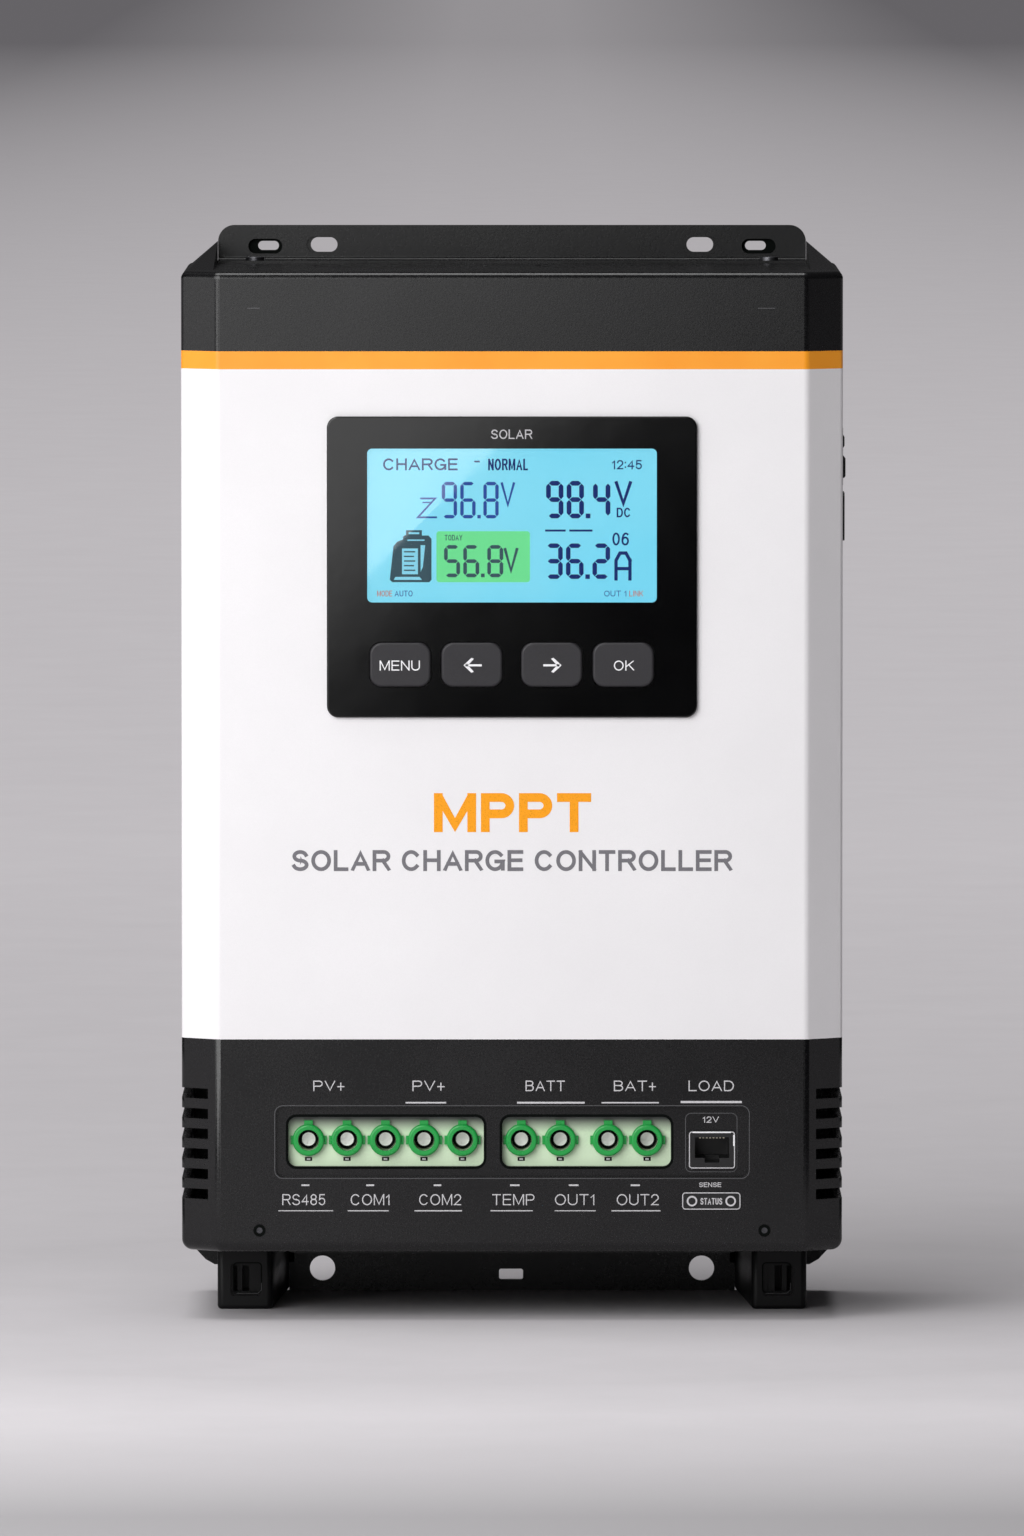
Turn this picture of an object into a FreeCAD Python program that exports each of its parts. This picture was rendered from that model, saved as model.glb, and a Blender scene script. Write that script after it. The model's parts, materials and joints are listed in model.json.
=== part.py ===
"""Wall-mount solar charge controller, as an assembly of separate pieces.

Frame: millimetres, +Z up, +X to the viewer's right, and the front faces -Y.
The origin is the centre of the bounding box's underside, so the feet stand on z = 0
and the wall plane is the back of the two mounting brackets.
Each function below builds one piece, or one group of equal pieces, and part NODE.step holds it.
"""

import FreeCAD, Part
import math
import os
from FreeCAD import Vector as V

# ---- driving dimensions -------------------------------------------------------------------
CASE_HALF_WIDTH = 100.0  # x of the case's sides
FRONT_HALF_WIDTH = 89.1  # x where the flat front ends and the bevel starts
FRONT_Y = -50.5  # flat front face
BEVEL_DEPTH = 8.0  # how far back the bevel runs
CASE_BACK_Y = 50.0  # rear edge of shell and covers
WALL_Y = 53.0  # wall plane
FLOOR_Z = 20.8  # underside of the bottom cover
SHELL_Z0 = 85.4  # bottom cover to painted shell
SHELL_Z1 = 288.1  # painted shell to accent band
BAND_Z1 = 293.5  # accent band to top cover
ROOF_Z = 317.4  # top of the top cover
BRACKET_TOP_Z = 328.9  # top of the upper mounting bracket

SHEET = 1.2  # painted steel
MOULD = 2.5  # moulded plastic walls
FRONT_EDGE_R = 3.0  # radius where front meets bevel
SIDE_EDGE_R = 2.0  # radius where bevel meets side

# display panel
PANEL_HALF_W = 55.9
PANEL_Z = (182.9, 273.9)
PANEL_FACE_Y = -51.9
PANEL_R = 3.5
GLASS_HALF_W = 43.7
GLASS_Z = (217.7, 264.2)
BUTTON_X = {"menu": -33.7, "left": -12.1, "right": 12.0, "ok": 33.6}
BUTTON_Z = 198.95
BUTTON_W, BUTTON_H, BUTTON_R = 18.4, 13.3, 3.6
BUTTON_FACE_Y = -53.0
BUTTON_GAP = 0.3

# terminals
RECESS = (-71.3, 71.3, 43.7, 64.8)  # x0, x1, z0, z1 of the shallow recess
RECESS_Y = -49.0
WINDOW_Z = (46.7, 61.8)
PV_WINDOW = (-67.7, -8.5)
BATTERY_WINDOW = (-3.0, 48.1)
POLE_Z = 54.6
POLE_PITCH = 11.65
PV_POLES = [-38.3 + POLE_PITCH * k for k in (-2, -1, 0, 1, 2)]
BATTERY_POLES = [2.8, 14.6, 29.1, 40.9]
BLOCK_FACE_Y = -46.2
BLOCK_BACK_Y = -19.2
BLOCK_Z = (45.0, 64.3)
WELL_R = 3.2
WELL_FLOOR_Y = -41.0
SCREW_HEAD_R = 2.9
SCREW_R = 2.0
CAGE_REST_Y = -33.1  # front of a clamp cage with its screw fully undone
CAGE_LENGTH, CAGE_W, CAGE_H = 11.0, 8.4, 9.0
CAGE_WALL = 1.3

# side controls on the +X side
SIDE_Y = -22.0
SWITCH_Z = 260.8
JACK_Z = 242.6
ROCKER_PIVOT_X = 95.0
ROCKER_R = 9.1  # reach of the rocker from its axle
AXLE_R = 1.1

# vents, feet, brackets
VENT_Z = [38.2 + 6.1 * k for k in range(6)]
VENT_H = 3.1
VENT_INNER_X = 92.0
VENT_END_Y = 8.0
FOOT_X = (73.1, 89.8)
FOOT_INNER_BACK_X = 68.8  # a foot widens inwards towards the wall
FOOT_FRONT_Y = -12.5
BRACKET_HALF_W = 90.4
BRACKET_T = 2.0
LEG_Z = 316.6  # underside of the upper bracket's leg, let into the roof
ROOF_SCREW_X, ROOF_SCREW_Y = 79.0, 46.0
FLOOR_SCREW_X, FLOOR_SCREW_Y = 55.0, 44.0
SINK_SCREW_X, SINK_SCREW_Z = 86.0, (80.0, 262.0)
# upper bracket slots as (x, z, length, radius): a shallow pocket in front, a smaller slot through it
INNER_POCKET, INNER_SLOT = (58.4, 322.9, 9.7, 2.45), (57.8, 322.9, 8.2, 2.25)
OUTER_POCKET, OUTER_SLOT = (75.9, 322.4, 10.5, 2.3), (74.9, 322.6, 6.4, 1.4)
POCKET_DEPTH = 1.2
LOWER_HOLE_X, LOWER_HOLE_Z, LOWER_HOLE_R = 58.5, 6.9, 3.9

# inside
BOARD_Y = (-18.9, -17.3)
SINK_Y0, SINK_Y1 = -11.0, -4.0
SINK_Z = (66.0, 276.0)
FIN_TIP_Y = 51.2
INDUCTOR_X, INDUCTOR_Z = 44.0, 132.0
FAN_X, FAN_Y = 34.0, 18.0
FAN_Z = (299.6, 314.6)
FAN_SIZE = 60.0
COVER_SCREW_X, COVER_SCREW_Z = 76.4, 27.4


# ---- helpers ------------------------------------------------------------------------------
def box(x0, x1, y0, y1, z0, z1):
    """A box between two corners, whichever way round the ends are given."""
    low = V(min(x0, x1), min(y0, y1), min(z0, z1))
    return Part.makeBox(abs(x1 - x0), abs(y1 - y0), abs(z1 - z0), low)


def cyl(axis, centre, length, radius):
    """A cylinder that starts at centre and runs along +axis."""
    way = {"x": V(1, 0, 0), "y": V(0, 1, 0), "z": V(0, 0, 1)}[axis]
    return Part.makeCylinder(radius, length, V(*centre), way)


def edges_along(shape, axis, test=lambda p: True):
    """The straight edges that run along an axis and whose middle passes the test."""
    index = "xyz".index(axis)
    found = []
    for edge in shape.Edges:
        if edge.Curve.TypeId != "Part::GeomLine":
            continue
        way = edge.tangentAt(edge.FirstParameter)
        if abs(abs(way[index]) - 1) < 1e-6 and test(edge.CenterOfMass):
            found.append(edge)
    return found


def rounded(x0, x1, y0, y1, z0, z1, r, axis):
    """A box with the four edges along one axis rounded."""
    solid = box(x0, x1, y0, y1, z0, z1)
    return solid.makeFillet(r, edges_along(solid, axis))


def panel(cx, cz, w, h, r, y0, y1):
    """A rounded rectangle in XZ, between two depths."""
    return rounded(cx - w / 2, cx + w / 2, y0, y1, cz - h / 2, cz + h / 2, r, "y")


def extrude(points, way):
    """A closed polygon pushed along a vector."""
    wire = Part.makePolygon([V(*p) for p in points] + [V(*points[0])])
    return Part.Face(wire).extrude(V(*way))


def flat(items):
    """A plain list from solids and lists of solids."""
    result = []
    for item in items:
        result += item if isinstance(item, list) else [item]
    return result


def fuse(first, *others):
    """One solid from several, with leftover seams removed."""
    return first.fuse(flat(others)).removeSplitter()


def cut(first, *others):
    """What is left of the first solid; each other argument is a solid or a list of them."""
    return first.cut(flat(others))


def group(solids):
    return Part.makeCompound(solids)


def mirrored(solid):
    """The same solid on the other side of the case."""
    return solid.mirror(V(0, 0, 0), V(1, 0, 0))


def case_prism(inset, z0, z1, back_y=CASE_BACK_Y):
    """The case's plan outline, moved inwards by inset and stood up between two heights."""
    slope = math.atan2(BEVEL_DEPTH, CASE_HALF_WIDTH - FRONT_HALF_WIDTH)
    side = CASE_HALF_WIDTH - inset
    front = FRONT_Y + inset
    front_x = FRONT_HALF_WIDTH - inset * math.tan(slope / 2)
    side_y = FRONT_Y + BEVEL_DEPTH + inset * math.tan((math.pi / 2 - slope) / 2)
    plan = [
        (-side, back_y, z0),
        (-side, side_y, z0),
        (-front_x, front, z0),
        (front_x, front, z0),
        (side, side_y, z0),
        (side, back_y, z0),
    ]
    solid = extrude(plan, (0, 0, z1 - z0))
    front_edges = edges_along(solid, "z", lambda p: p.y < front + 0.5)
    solid = solid.makeFillet(max(0.6, FRONT_EDGE_R - inset), front_edges)
    side_edges = edges_along(solid, "z", lambda p: abs(p.x) > side - 0.01 and p.y < side_y + 0.5)
    side_edges = [e for e in side_edges if abs(e.CenterOfMass.y - side_y) < 0.6]
    return solid.makeFillet(max(0.5, SIDE_EDGE_R - inset), side_edges)


def face_edges(solid, z):
    """Every edge that lies in the plane at height z, except the one along the back."""
    return [
        e
        for e in solid.Edges
        if abs(e.BoundBox.ZMin - z) < 1e-4
        and abs(e.BoundBox.ZMax - z) < 1e-4
        and e.BoundBox.YMin < CASE_BACK_Y - 0.1
    ]


# ---- case ---------------------------------------------------------------------------------
def front_shell():
    """Painted sheet: flat front, two bevels and both sides, with folded rear edges."""
    shell = cut(
        case_prism(0, SHELL_Z0, SHELL_Z1),
        case_prism(SHEET, SHELL_Z0 - 1, SHELL_Z1 + 1, CASE_BACK_Y + 1),
    )
    fold = box(CASE_HALF_WIDTH - 11, CASE_HALF_WIDTH, CASE_BACK_Y - SHEET, CASE_BACK_Y, SHELL_Z0, SHELL_Z1)
    shell = fuse(shell, fold, mirrored(fold))
    low, high = PANEL_Z
    display_hole = box(-53, 53, FRONT_Y - 1, FRONT_Y + 3, low + 3, high - 3)
    side_x = (CASE_HALF_WIDTH - 3, CASE_HALF_WIDTH + 1)
    side_holes = [
        box(*side_x, SIDE_Y - half_y, SIDE_Y + half_y, z - half_z, z + half_z)
        for half_y, z, half_z in ((4.8, SWITCH_Z, 8.35), (7.2, JACK_Z, 6.3))
    ]
    return cut(shell, display_hole, *side_holes)


def accent_band():
    """Coloured trim strip round the front, bevels and sides, above the shell."""
    return cut(
        case_prism(0, SHELL_Z1, BAND_Z1),
        case_prism(1.6, SHELL_Z1 - 1, BAND_Z1 + 1, CASE_BACK_Y + 1),
    )


def spigot(z0, z1, outer, inner):
    """A collar inside the shell that locates a moulded cover."""
    return cut(
        case_prism(outer, z0, z1, CASE_BACK_Y - 3),
        case_prism(inner, z0 - 1, z1 + 1, CASE_BACK_Y),
    )


def exhaust_slots():
    """Slots in the roof over each fan."""
    width, pitch, rows = 3.0, 5.4, 9
    slots = []
    for x in (-FAN_X, FAN_X):
        for k in range(rows):
            y = FAN_Y + pitch * (k - (rows - 1) / 2)
            reach = math.sqrt(max(27.0**2 - (y - FAN_Y) ** 2, 1))
            slots.append(rounded(x - reach, x + reach, y - width / 2, y + width / 2, 312, 319, 1.45, "z"))
    return slots


def top_cover():
    """Moulded top cap, with exhaust slots and a fairing at each end of the bracket."""
    cap = case_prism(0, BAND_Z1, ROOF_Z)
    cap = cap.makeFillet(2.1, face_edges(cap, ROOF_Z))
    cap = cut(cap, case_prism(MOULD, BAND_Z1 - 1, ROOF_Z - MOULD, CASE_BACK_Y + 1))
    cap = fuse(cap, spigot(SHELL_Z1 - 4, BAND_Z1 + 1, 2.0, 3.4))
    rise = 6.6
    inner, outer = BRACKET_HALF_W + 0.1, CASE_HALF_WIDTH - 0.4
    front, rear, base = -44.0, WALL_Y - 0.4, ROOF_Z - 1.2
    a, b, c = V(inner, front, base), V(outer, front, base), V(inner, rear, base)
    d, e = V(outer, rear, base), V(inner, rear, ROOF_Z + rise)
    faces = [(a, b, d, c), (a, c, e), (c, d, e), (b, e, d), (a, e, b)]
    shell = Part.makeShell([Part.Face(Part.makePolygon([*f, f[0]])) for f in faces])
    fairing = Part.makeSolid(shell)
    cap = fuse(cap, fairing, mirrored(fairing))
    leg = box(-BRACKET_HALF_W - 0.1, BRACKET_HALF_W + 0.1, 40.9, CASE_BACK_Y + 4, LEG_Z, ROOF_Z + 2)
    screw_holes = [cyl("z", (s * ROOF_SCREW_X, ROOF_SCREW_Y, LEG_Z - 4), 6, 1.6) for s in (-1, 1)]
    return cut(cap, exhaust_slots() + screw_holes + [leg])


def vent_slots():
    """One side's louvre slots, which wrap the bevel and run back along the side."""
    return [
        box(VENT_INNER_X, CASE_HALF_WIDTH + 1, FRONT_Y - 1, VENT_END_Y, z - VENT_H / 2, z + VENT_H / 2)
        for z in VENT_Z
    ]


def bottom_cover():
    """Moulded terminal cover: terminal windows, louvres, and a cable slot underneath."""
    cover = case_prism(0, FLOOR_Z, SHELL_Z0)
    cover = cover.makeFillet(3.4, face_edges(cover, FLOOR_Z))
    cover = cut(cover, case_prism(MOULD, FLOOR_Z + MOULD, SHELL_Z0 + 1, CASE_BACK_Y + 1))
    cover = fuse(cover, spigot(SHELL_Z0 - 1, SHELL_Z0 + 5, SHEET + 0.4, SHEET + 2.0))
    x0, x1, z0, z1 = RECESS
    backing = box(x0 - 2, x1 + 2, FRONT_Y + 1.5, RECESS_Y + MOULD, z0 - 2, z1 + 2)
    bosses = [cyl("y", (s * COVER_SCREW_X, FRONT_Y + 2, COVER_SCREW_Z), 9.5, 3.2) for s in (-1, 1)]
    cover = fuse(cover, backing, *bosses)
    middle_z, height = (z0 + z1) / 2, z1 - z0
    holes = [panel((x0 + x1) / 2, middle_z, x1 - x0, height, 2.0, FRONT_Y - 1, RECESS_Y)]
    window_z, window_h = sum(WINDOW_Z) / 2, WINDOW_Z[1] - WINDOW_Z[0]
    for a, b in (PV_WINDOW, BATTERY_WINDOW):
        holes.append(panel((a + b) / 2, window_z, b - a, window_h, 2.4, RECESS_Y - 1, RECESS_Y + MOULD + 1))
    holes.append(panel(60.5, 51.8, 12.8, 10.1, 0.6, RECESS_Y - 1, RECESS_Y + MOULD + 1))
    holes.append(panel(60.3, 36.4, 16.6, 4.2, 0.5, FRONT_Y - 1, FRONT_Y + MOULD + 1))
    holes.append(rounded(-66, 66, -38, -12, FLOOR_Z - 1, FLOOR_Z + MOULD + 1, 4, "z"))
    for side in (-1, 1):
        x = side * COVER_SCREW_X
        holes.append(cyl("y", (x, FRONT_Y - 1, COVER_SCREW_Z), 2.2, 1.9))
        holes.append(cyl("y", (x, FRONT_Y, COVER_SCREW_Z), 10.5, 1.05))
        holes.append(cyl("z", (side * FLOOR_SCREW_X, FLOOR_SCREW_Y, FLOOR_Z - 1), 5, 1.6))
    side_slots = vent_slots()
    holes += side_slots + [mirrored(s) for s in side_slots]
    return cut(cover, holes)


def cable_slot_trim():
    """Rubber edging that grips the rim of the cable slot."""
    trim = rounded(-67.5, 67.5, -39.5, -10.5, FLOOR_Z - 1.2, FLOOR_Z + MOULD + 1.2, 5.4, "z")
    throat = rounded(-64.5, 64.5, -36.5, -13.5, FLOOR_Z - 3, FLOOR_Z + MOULD + 3, 2.6, "z")
    plate = cut(
        box(-70, 70, -42, -8, FLOOR_Z, FLOOR_Z + MOULD),
        rounded(-66, 66, -38, -12, FLOOR_Z - 1, FLOOR_Z + MOULD + 1, 4, "z"),
    )
    return cut(trim, throat, plate)


def back_plate():
    """Steel back with a window for the fins, tabs that carry the brackets, and an ear beside each foot."""
    low, high = FLOOR_Z + MOULD + 0.1, ROOF_Z - MOULD - 0.1
    plate = rounded(-98.5, 98.5, CASE_BACK_Y, CASE_BACK_Y + 1.5, low, high, 3, "y")
    plate = cut(plate, rounded(-83, 83, CASE_BACK_Y - 1, CASE_BACK_Y + 3, 64, 278, 4, "y"))
    tabs = []
    for side in (-1, 1):
        tabs.append(box(side * 68, side * 88, 36, CASE_BACK_Y + 1, high - 1.6, high))
        tabs.append(box(side * 40, side * 70, 36, CASE_BACK_Y + 1, low, low + 1.6))
    inner = FOOT_X[1] + 0.05
    outline = [(inner, 8.2), (91.8, 8.2), (94.6, 9.8), (97.2, 12.6), (98.5, 15.0), (98.5, low + 6)]
    outline.append((inner, low + 6))
    ear = extrude([(x, CASE_BACK_Y, z) for x, z in outline], (0, 1.5, 0))
    plate = fuse(plate, tabs + [ear, mirrored(ear)])
    holes = []
    for side in (-1, 1):
        holes.append(cyl("z", (side * ROOF_SCREW_X, ROOF_SCREW_Y, high - 3), 5, 1.6))
        holes.append(cyl("z", (side * FLOOR_SCREW_X, FLOOR_SCREW_Y, low - 1), 5, 1.6))
        for z in SINK_SCREW_Z:
            holes.append(cyl("y", (side * SINK_SCREW_X, CASE_BACK_Y - 1, z), 4, 1.7))
    return cut(plate, holes)


def slot_y(x, z, length, radius, y0, y1):
    """A slot with round ends, along X, through a plate that faces Y."""
    reach = length / 2 - radius
    ends = [cyl("y", (x + s * reach, y0, z), y1 - y0, radius) for s in (-1, 1)]
    return fuse(box(x - reach, x + reach, y0, y1, z - radius, z + radius), ends)


def top_bracket():
    """Upper wall bracket: an upright flange with four slots, on a leg screwed to the roof."""
    y0, leg_z = WALL_Y - BRACKET_T, LEG_Z
    flange = box(-BRACKET_HALF_W, BRACKET_HALF_W, y0, WALL_Y, leg_z, BRACKET_TOP_Z)
    flange = flange.makeFillet(5.0, edges_along(flange, "y", lambda p: p.z > BRACKET_TOP_Z - 1))
    leg = box(-BRACKET_HALF_W, BRACKET_HALF_W, 41, WALL_Y, leg_z, leg_z + 1.6)
    bracket = fuse(flange, leg)
    bend = edges_along(bracket, "x", lambda p: abs(p.y - y0) < 0.01 and abs(p.z - leg_z - 1.6) < 0.01)
    bracket = bracket.makeFillet(1.2, bend)
    heel = edges_along(bracket, "x", lambda p: p.y > WALL_Y - 0.01 and p.z < leg_z + 0.01)
    bracket = bracket.makeFillet(1.4, heel)
    holes = []
    for side in (-1, 1):
        for x, z, length, radius in (INNER_POCKET, OUTER_POCKET):
            holes.append(slot_y(side * x, z, length, radius, y0 - 1, y0 + POCKET_DEPTH))
        for x, z, length, radius in (INNER_SLOT, OUTER_SLOT):
            holes.append(slot_y(side * x, z, length, radius, y0 - 1, WALL_Y + 1))
        holes.append(cyl("z", (side * ROOF_SCREW_X, ROOF_SCREW_Y, leg_z - 1), 5, 1.6))
    return cut(bracket, holes)


def lower_bracket():
    """Lower wall bracket between the feet: two round holes, and a centre slot in a raised pad."""
    y0, top = WALL_Y - BRACKET_T, FLOOR_Z
    half = FOOT_INNER_BACK_X - 0.02
    flange = box(-half, half, y0, WALL_Y, 0.1, top)
    leg = box(-half, half, 35, WALL_Y, top - 1.6, top)
    webs = [
        extrude([(s * half, 36, top), (s * half, y0 + 1, top), (s * half, y0 + 1, 8)], (-s * 1.6, 0, 0))
        for s in (-1, 1)
    ]
    pad = rounded(-7.6, 7.6, y0 - 1, y0 + 0.5, 2.2, 17.5, 1.6, "y")
    bracket = fuse(flange, leg, pad, *webs)
    holes = [rounded(-4.0, 3.4, y0 - 2, WALL_Y + 1, 3.4, 6.8, 0.7, "y")]
    for side in (-1, 1):
        holes.append(cyl("y", (side * LOWER_HOLE_X, y0 - 1, LOWER_HOLE_Z), BRACKET_T + 2, LOWER_HOLE_R))
        holes.append(slot_y(side * LOWER_HOLE_X, 13.6, 6.2, 1.5, y0 - 1, WALL_Y + 1))
        holes.append(cyl("z", (side * FLOOR_SCREW_X, FLOOR_SCREW_Y, top - 3), 5, 1.6))
    return cut(bracket, holes)


def foot():
    """The right foot: a moulded block with a stepped square pocket and two ribs in it."""
    x0, x1 = FOOT_X
    top = FLOOR_Z
    front = FOOT_FRONT_Y
    plan = [(x0, front, 0), (x1, front, 0), (x1, WALL_Y, 0), (FOOT_INNER_BACK_X, WALL_Y, 0)]
    block = extrude(plan, (0, 0, top))
    block = block.makeFillet(1.8, edges_along(block, "z", lambda p: p.y < 0))
    base = [
        e
        for e in block.Edges
        if e.BoundBox.ZMax < 1e-4 and e.BoundBox.YMin < WALL_Y - 0.1
    ]
    block = block.makeFillet(1.2, base)
    x, z = 81.15, 9.1
    mouth = panel(x, z, 9.4, 10.0, 1.3, front - 1, front + 1.2)
    pocket = panel(x + 0.3, z - 0.2, 7.4, 8.8, 0.9, front - 1, front + 13)
    block = cut(block, mouth, pocket)
    ribs = [
        box(x + 1.15, x + 2.65, front + 3.4, front + 13.5, 4.4, 13.8),
        box(x - 3.6, x - 1.0, front + 2.2, front + 13.5, 4.4, 13.8),
        box(x - 3.6, x + 4.0, front + 2.2, front + 13.5, 4.0, 5.4),
    ]
    core = cut(
        box(x0 + 2.2, x1 - 2.2, front + 16, WALL_Y - 2.2, 2.4, top + 1),
        box(x0, x1, 19, 21, 0, top + 1),
    )
    return cut(fuse(block, ribs), core)


# ---- display panel ------------------------------------------------------------------------
def display_bezel():
    """Gloss panel with the window for the glass and four button holes, boxed in behind."""
    low, high = PANEL_Z
    middle = (low + high) / 2
    plate = panel(0, middle, 2 * PANEL_HALF_W, high - low, PANEL_R, PANEL_FACE_Y, FRONT_Y)
    rim = [e for e in plate.Edges if abs(e.BoundBox.YMax - PANEL_FACE_Y) < 1e-4]
    plate = plate.makeFillet(0.5, rim)
    tray = box(-52.6, 52.6, FRONT_Y, -42.0, low + 3.4, high - 3.4)
    tray = cut(tray, box(-50.8, 50.8, -49.4, -41, low + 5.2, high - 5.2))
    bezel = fuse(plate, tray)
    glass_z, glass_h = sum(GLASS_Z) / 2, GLASS_Z[1] - GLASS_Z[0]
    holes = [panel(0, glass_z, 2 * GLASS_HALF_W, glass_h, 1.5, -53, -49)]
    for x in BUTTON_X.values():
        w, h = BUTTON_W + 2 * BUTTON_GAP, BUTTON_H + 2 * BUTTON_GAP
        holes.append(panel(x, BUTTON_Z, w, h, BUTTON_R + BUTTON_GAP, -53, -49))
    return cut(bezel, holes)


def display_window():
    """Clear lens, flush in the bezel."""
    z, h = sum(GLASS_Z) / 2, GLASS_Z[1] - GLASS_Z[0]
    return panel(0, z, 2 * GLASS_HALF_W - 0.1, h - 0.1, 1.45, PANEL_FACE_Y + 0.1, -50.8)


def lcd_module():
    """LCD glass with its metal frame, standing behind the lens."""
    z, h = sum(GLASS_Z) / 2, GLASS_Z[1] - GLASS_Z[0]
    glass = panel(0, z, 2 * GLASS_HALF_W - 0.4, h - 0.4, 1.3, -50.3, -49.0)
    frame = panel(0, z, 94, h + 5.5, 1.0, -49.3, -43.5)
    return fuse(glass, frame)


def display_board():
    """Circuit board behind the display, with the ribbon socket on its back."""
    board = box(-49.5, 49.5, -42.0 + 0.1, -40.4, 188.6, 268.2)
    socket = box(-12, 12, -40.4, -36.5, 196, 201)
    spacers = [box(x - 3, x + 3, -43.5, -41.5, z - 2.5, z + 2.5) for x in (-40, 40) for z in (219, 263)]
    return fuse(board, [socket] + spacers)


def button(x):
    """A button cap with a retaining lip and a stem that reaches its switch."""
    cap = panel(x, BUTTON_Z, BUTTON_W, BUTTON_H, BUTTON_R, BUTTON_FACE_Y, -48.4)
    rim = [e for e in cap.Edges if abs(e.BoundBox.YMax - BUTTON_FACE_Y) < 1e-4]
    cap = cap.makeFillet(0.7, rim)
    lip = panel(x, BUTTON_Z, BUTTON_W + 2.0, BUTTON_H + 2.0, BUTTON_R + 0.8, -49.3, -48.1)
    stem = cyl("y", (x, -48.4, BUTTON_Z), 1.8, 2.2)
    return fuse(cap, lip, stem)


def button_switches():
    """Four tactile switches on the display board."""
    switches = []
    for x in BUTTON_X.values():
        body = box(x - 3, x + 3, -44.4, -41.9, BUTTON_Z - 3, BUTTON_Z + 3)
        switches.append(fuse(body, cyl("y", (x, -45.4, BUTTON_Z), 1.2, 1.7)))
    return group(switches)


def ribbon_cable():
    """Flat ribbon from the display board down and back to the main board."""
    half, t, r = 9.0, 0.9, 3.0
    y_drop = -30.0
    z_high, z_low = 198.5, 172.0
    upper = box(-half, half, -36.4, y_drop - r, z_high - t / 2, z_high + t / 2)
    drop = box(-half, half, y_drop - t / 2, y_drop + t / 2, z_low + r, z_high - r)
    lower = box(-half, half, y_drop + r, -22.9, z_low - t / 2, z_low + t / 2)

    def bend(y, z, y_side, z_side):
        outer = cyl("x", (-half, y, z), 2 * half, r + t / 2)
        ring = cut(outer, cyl("x", (-half - 1, y, z), 2 * half + 2, r - t / 2))
        return ring.common(box(-half, half, y, y + y_side * 9, z, z + z_side * 9))

    first = bend(y_drop - r, z_high - r, 1, 1)
    second = bend(y_drop + r, z_low + r, -1, -1)
    return fuse(upper, first, drop, second, lower)


# ---- terminals ----------------------------------------------------------------------------
def terminal_block(x0, x1, poles):
    """Moulded block: a screw well in front, a cage chamber and a wire entry for each pole."""
    block = box(x0, x1, BLOCK_FACE_Y, BLOCK_BACK_Y, *BLOCK_Z)
    holes = []
    for x in poles:
        holes.append(cyl("y", (x, BLOCK_FACE_Y - 1, POLE_Z), WELL_FLOOR_Y - BLOCK_FACE_Y + 1, WELL_R))
        holes.append(cyl("y", (x, WELL_FLOOR_Y - 1, POLE_Z), 4, SCREW_R + 0.08))
        holes.append(box(x - 4.5, x + 4.5, -38.5, -21.0, POLE_Z - 4.8, POLE_Z + 4.8))
        holes.append(box(x - 3.2, x + 3.2, -29.4, -23.2, BLOCK_Z[0] - 1, POLE_Z))
        holes.append(box(x - 1.05, x + 1.05, BLOCK_FACE_Y - 1, BLOCK_FACE_Y + 1.5, 48.2, 49.4))
    return cut(block, holes)


def terminal_collars():
    """Ring round each screw well, keyed to the block by three small tabs."""
    rings = []
    for x in PV_POLES + BATTERY_POLES:
        ring = cyl("y", (x, BLOCK_FACE_Y - 2.2, POLE_Z), 2.2, 4.85)
        crown = [e for e in ring.Edges if abs(e.BoundBox.YMax - (BLOCK_FACE_Y - 2.2)) < 1e-4]
        ring = ring.makeFillet(0.7, crown)
        top = box(x - 1.3, x + 1.3, BLOCK_FACE_Y - 1.5, BLOCK_FACE_Y, POLE_Z + 4.2, POLE_Z + 6.0)
        ears = [
            box(x + s * 4.4, x + s * 5.45, BLOCK_FACE_Y - 1.2, BLOCK_FACE_Y, POLE_Z - 1.3, POLE_Z + 1.3)
            for s in (-1, 1)
        ]
        ring = fuse(ring, top, *ears)
        rings.append(cut(ring, cyl("y", (x, BLOCK_FACE_Y - 3, POLE_Z), 4, WELL_R)))
    return group(rings)


def contact_bars():
    """Fixed bar of each pole: the clamp presses the wire against it, and its tail meets the board."""
    bars = []
    for x in PV_POLES + BATTERY_POLES:
        bar = box(x - 2.5, x + 2.5, -31.0, -29.5, POLE_Z - 6.0, POLE_Z + 6.8)
        tail = box(x - 2.5, x + 2.5, -31.0, BOARD_Y[0], POLE_Z + 5.6, POLE_Z + 6.8)
        bars.append(fuse(bar, tail))
    return group(bars)


def bar_channels():
    """Room for the contact bars in a terminal block."""
    channels = []
    for x in PV_POLES + BATTERY_POLES:
        channels.append(box(x - 2.5, x + 2.5, -31.0, -29.5, POLE_Z - 6.0, POLE_Z + 6.8))
        channels.append(box(x - 2.5, x + 2.5, -31.0, BLOCK_BACK_Y + 1, POLE_Z + 5.6, POLE_Z + 6.8))
    return channels


def terminal_screw(x):
    """Captive clamp screw with a cross recess."""
    head = cyl("y", (x, -43.5, POLE_Z), 2.3, SCREW_HEAD_R)
    rim = [e for e in head.Edges if abs(e.BoundBox.YMax + 43.5) < 1e-4]
    head = head.makeFillet(0.5, rim)
    shank = cyl("y", (x, -41.3, POLE_Z), 10.2, SCREW_R)
    screw = fuse(head, shank)
    blade = box(x - 2.2, x + 2.2, -44, -42.5, POLE_Z - 0.4, POLE_Z + 0.4)
    cross = box(x - 0.4, x + 0.4, -44, -42.5, POLE_Z - 1.6, POLE_Z + 1.6)
    return cut(screw, blade, cross)


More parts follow.
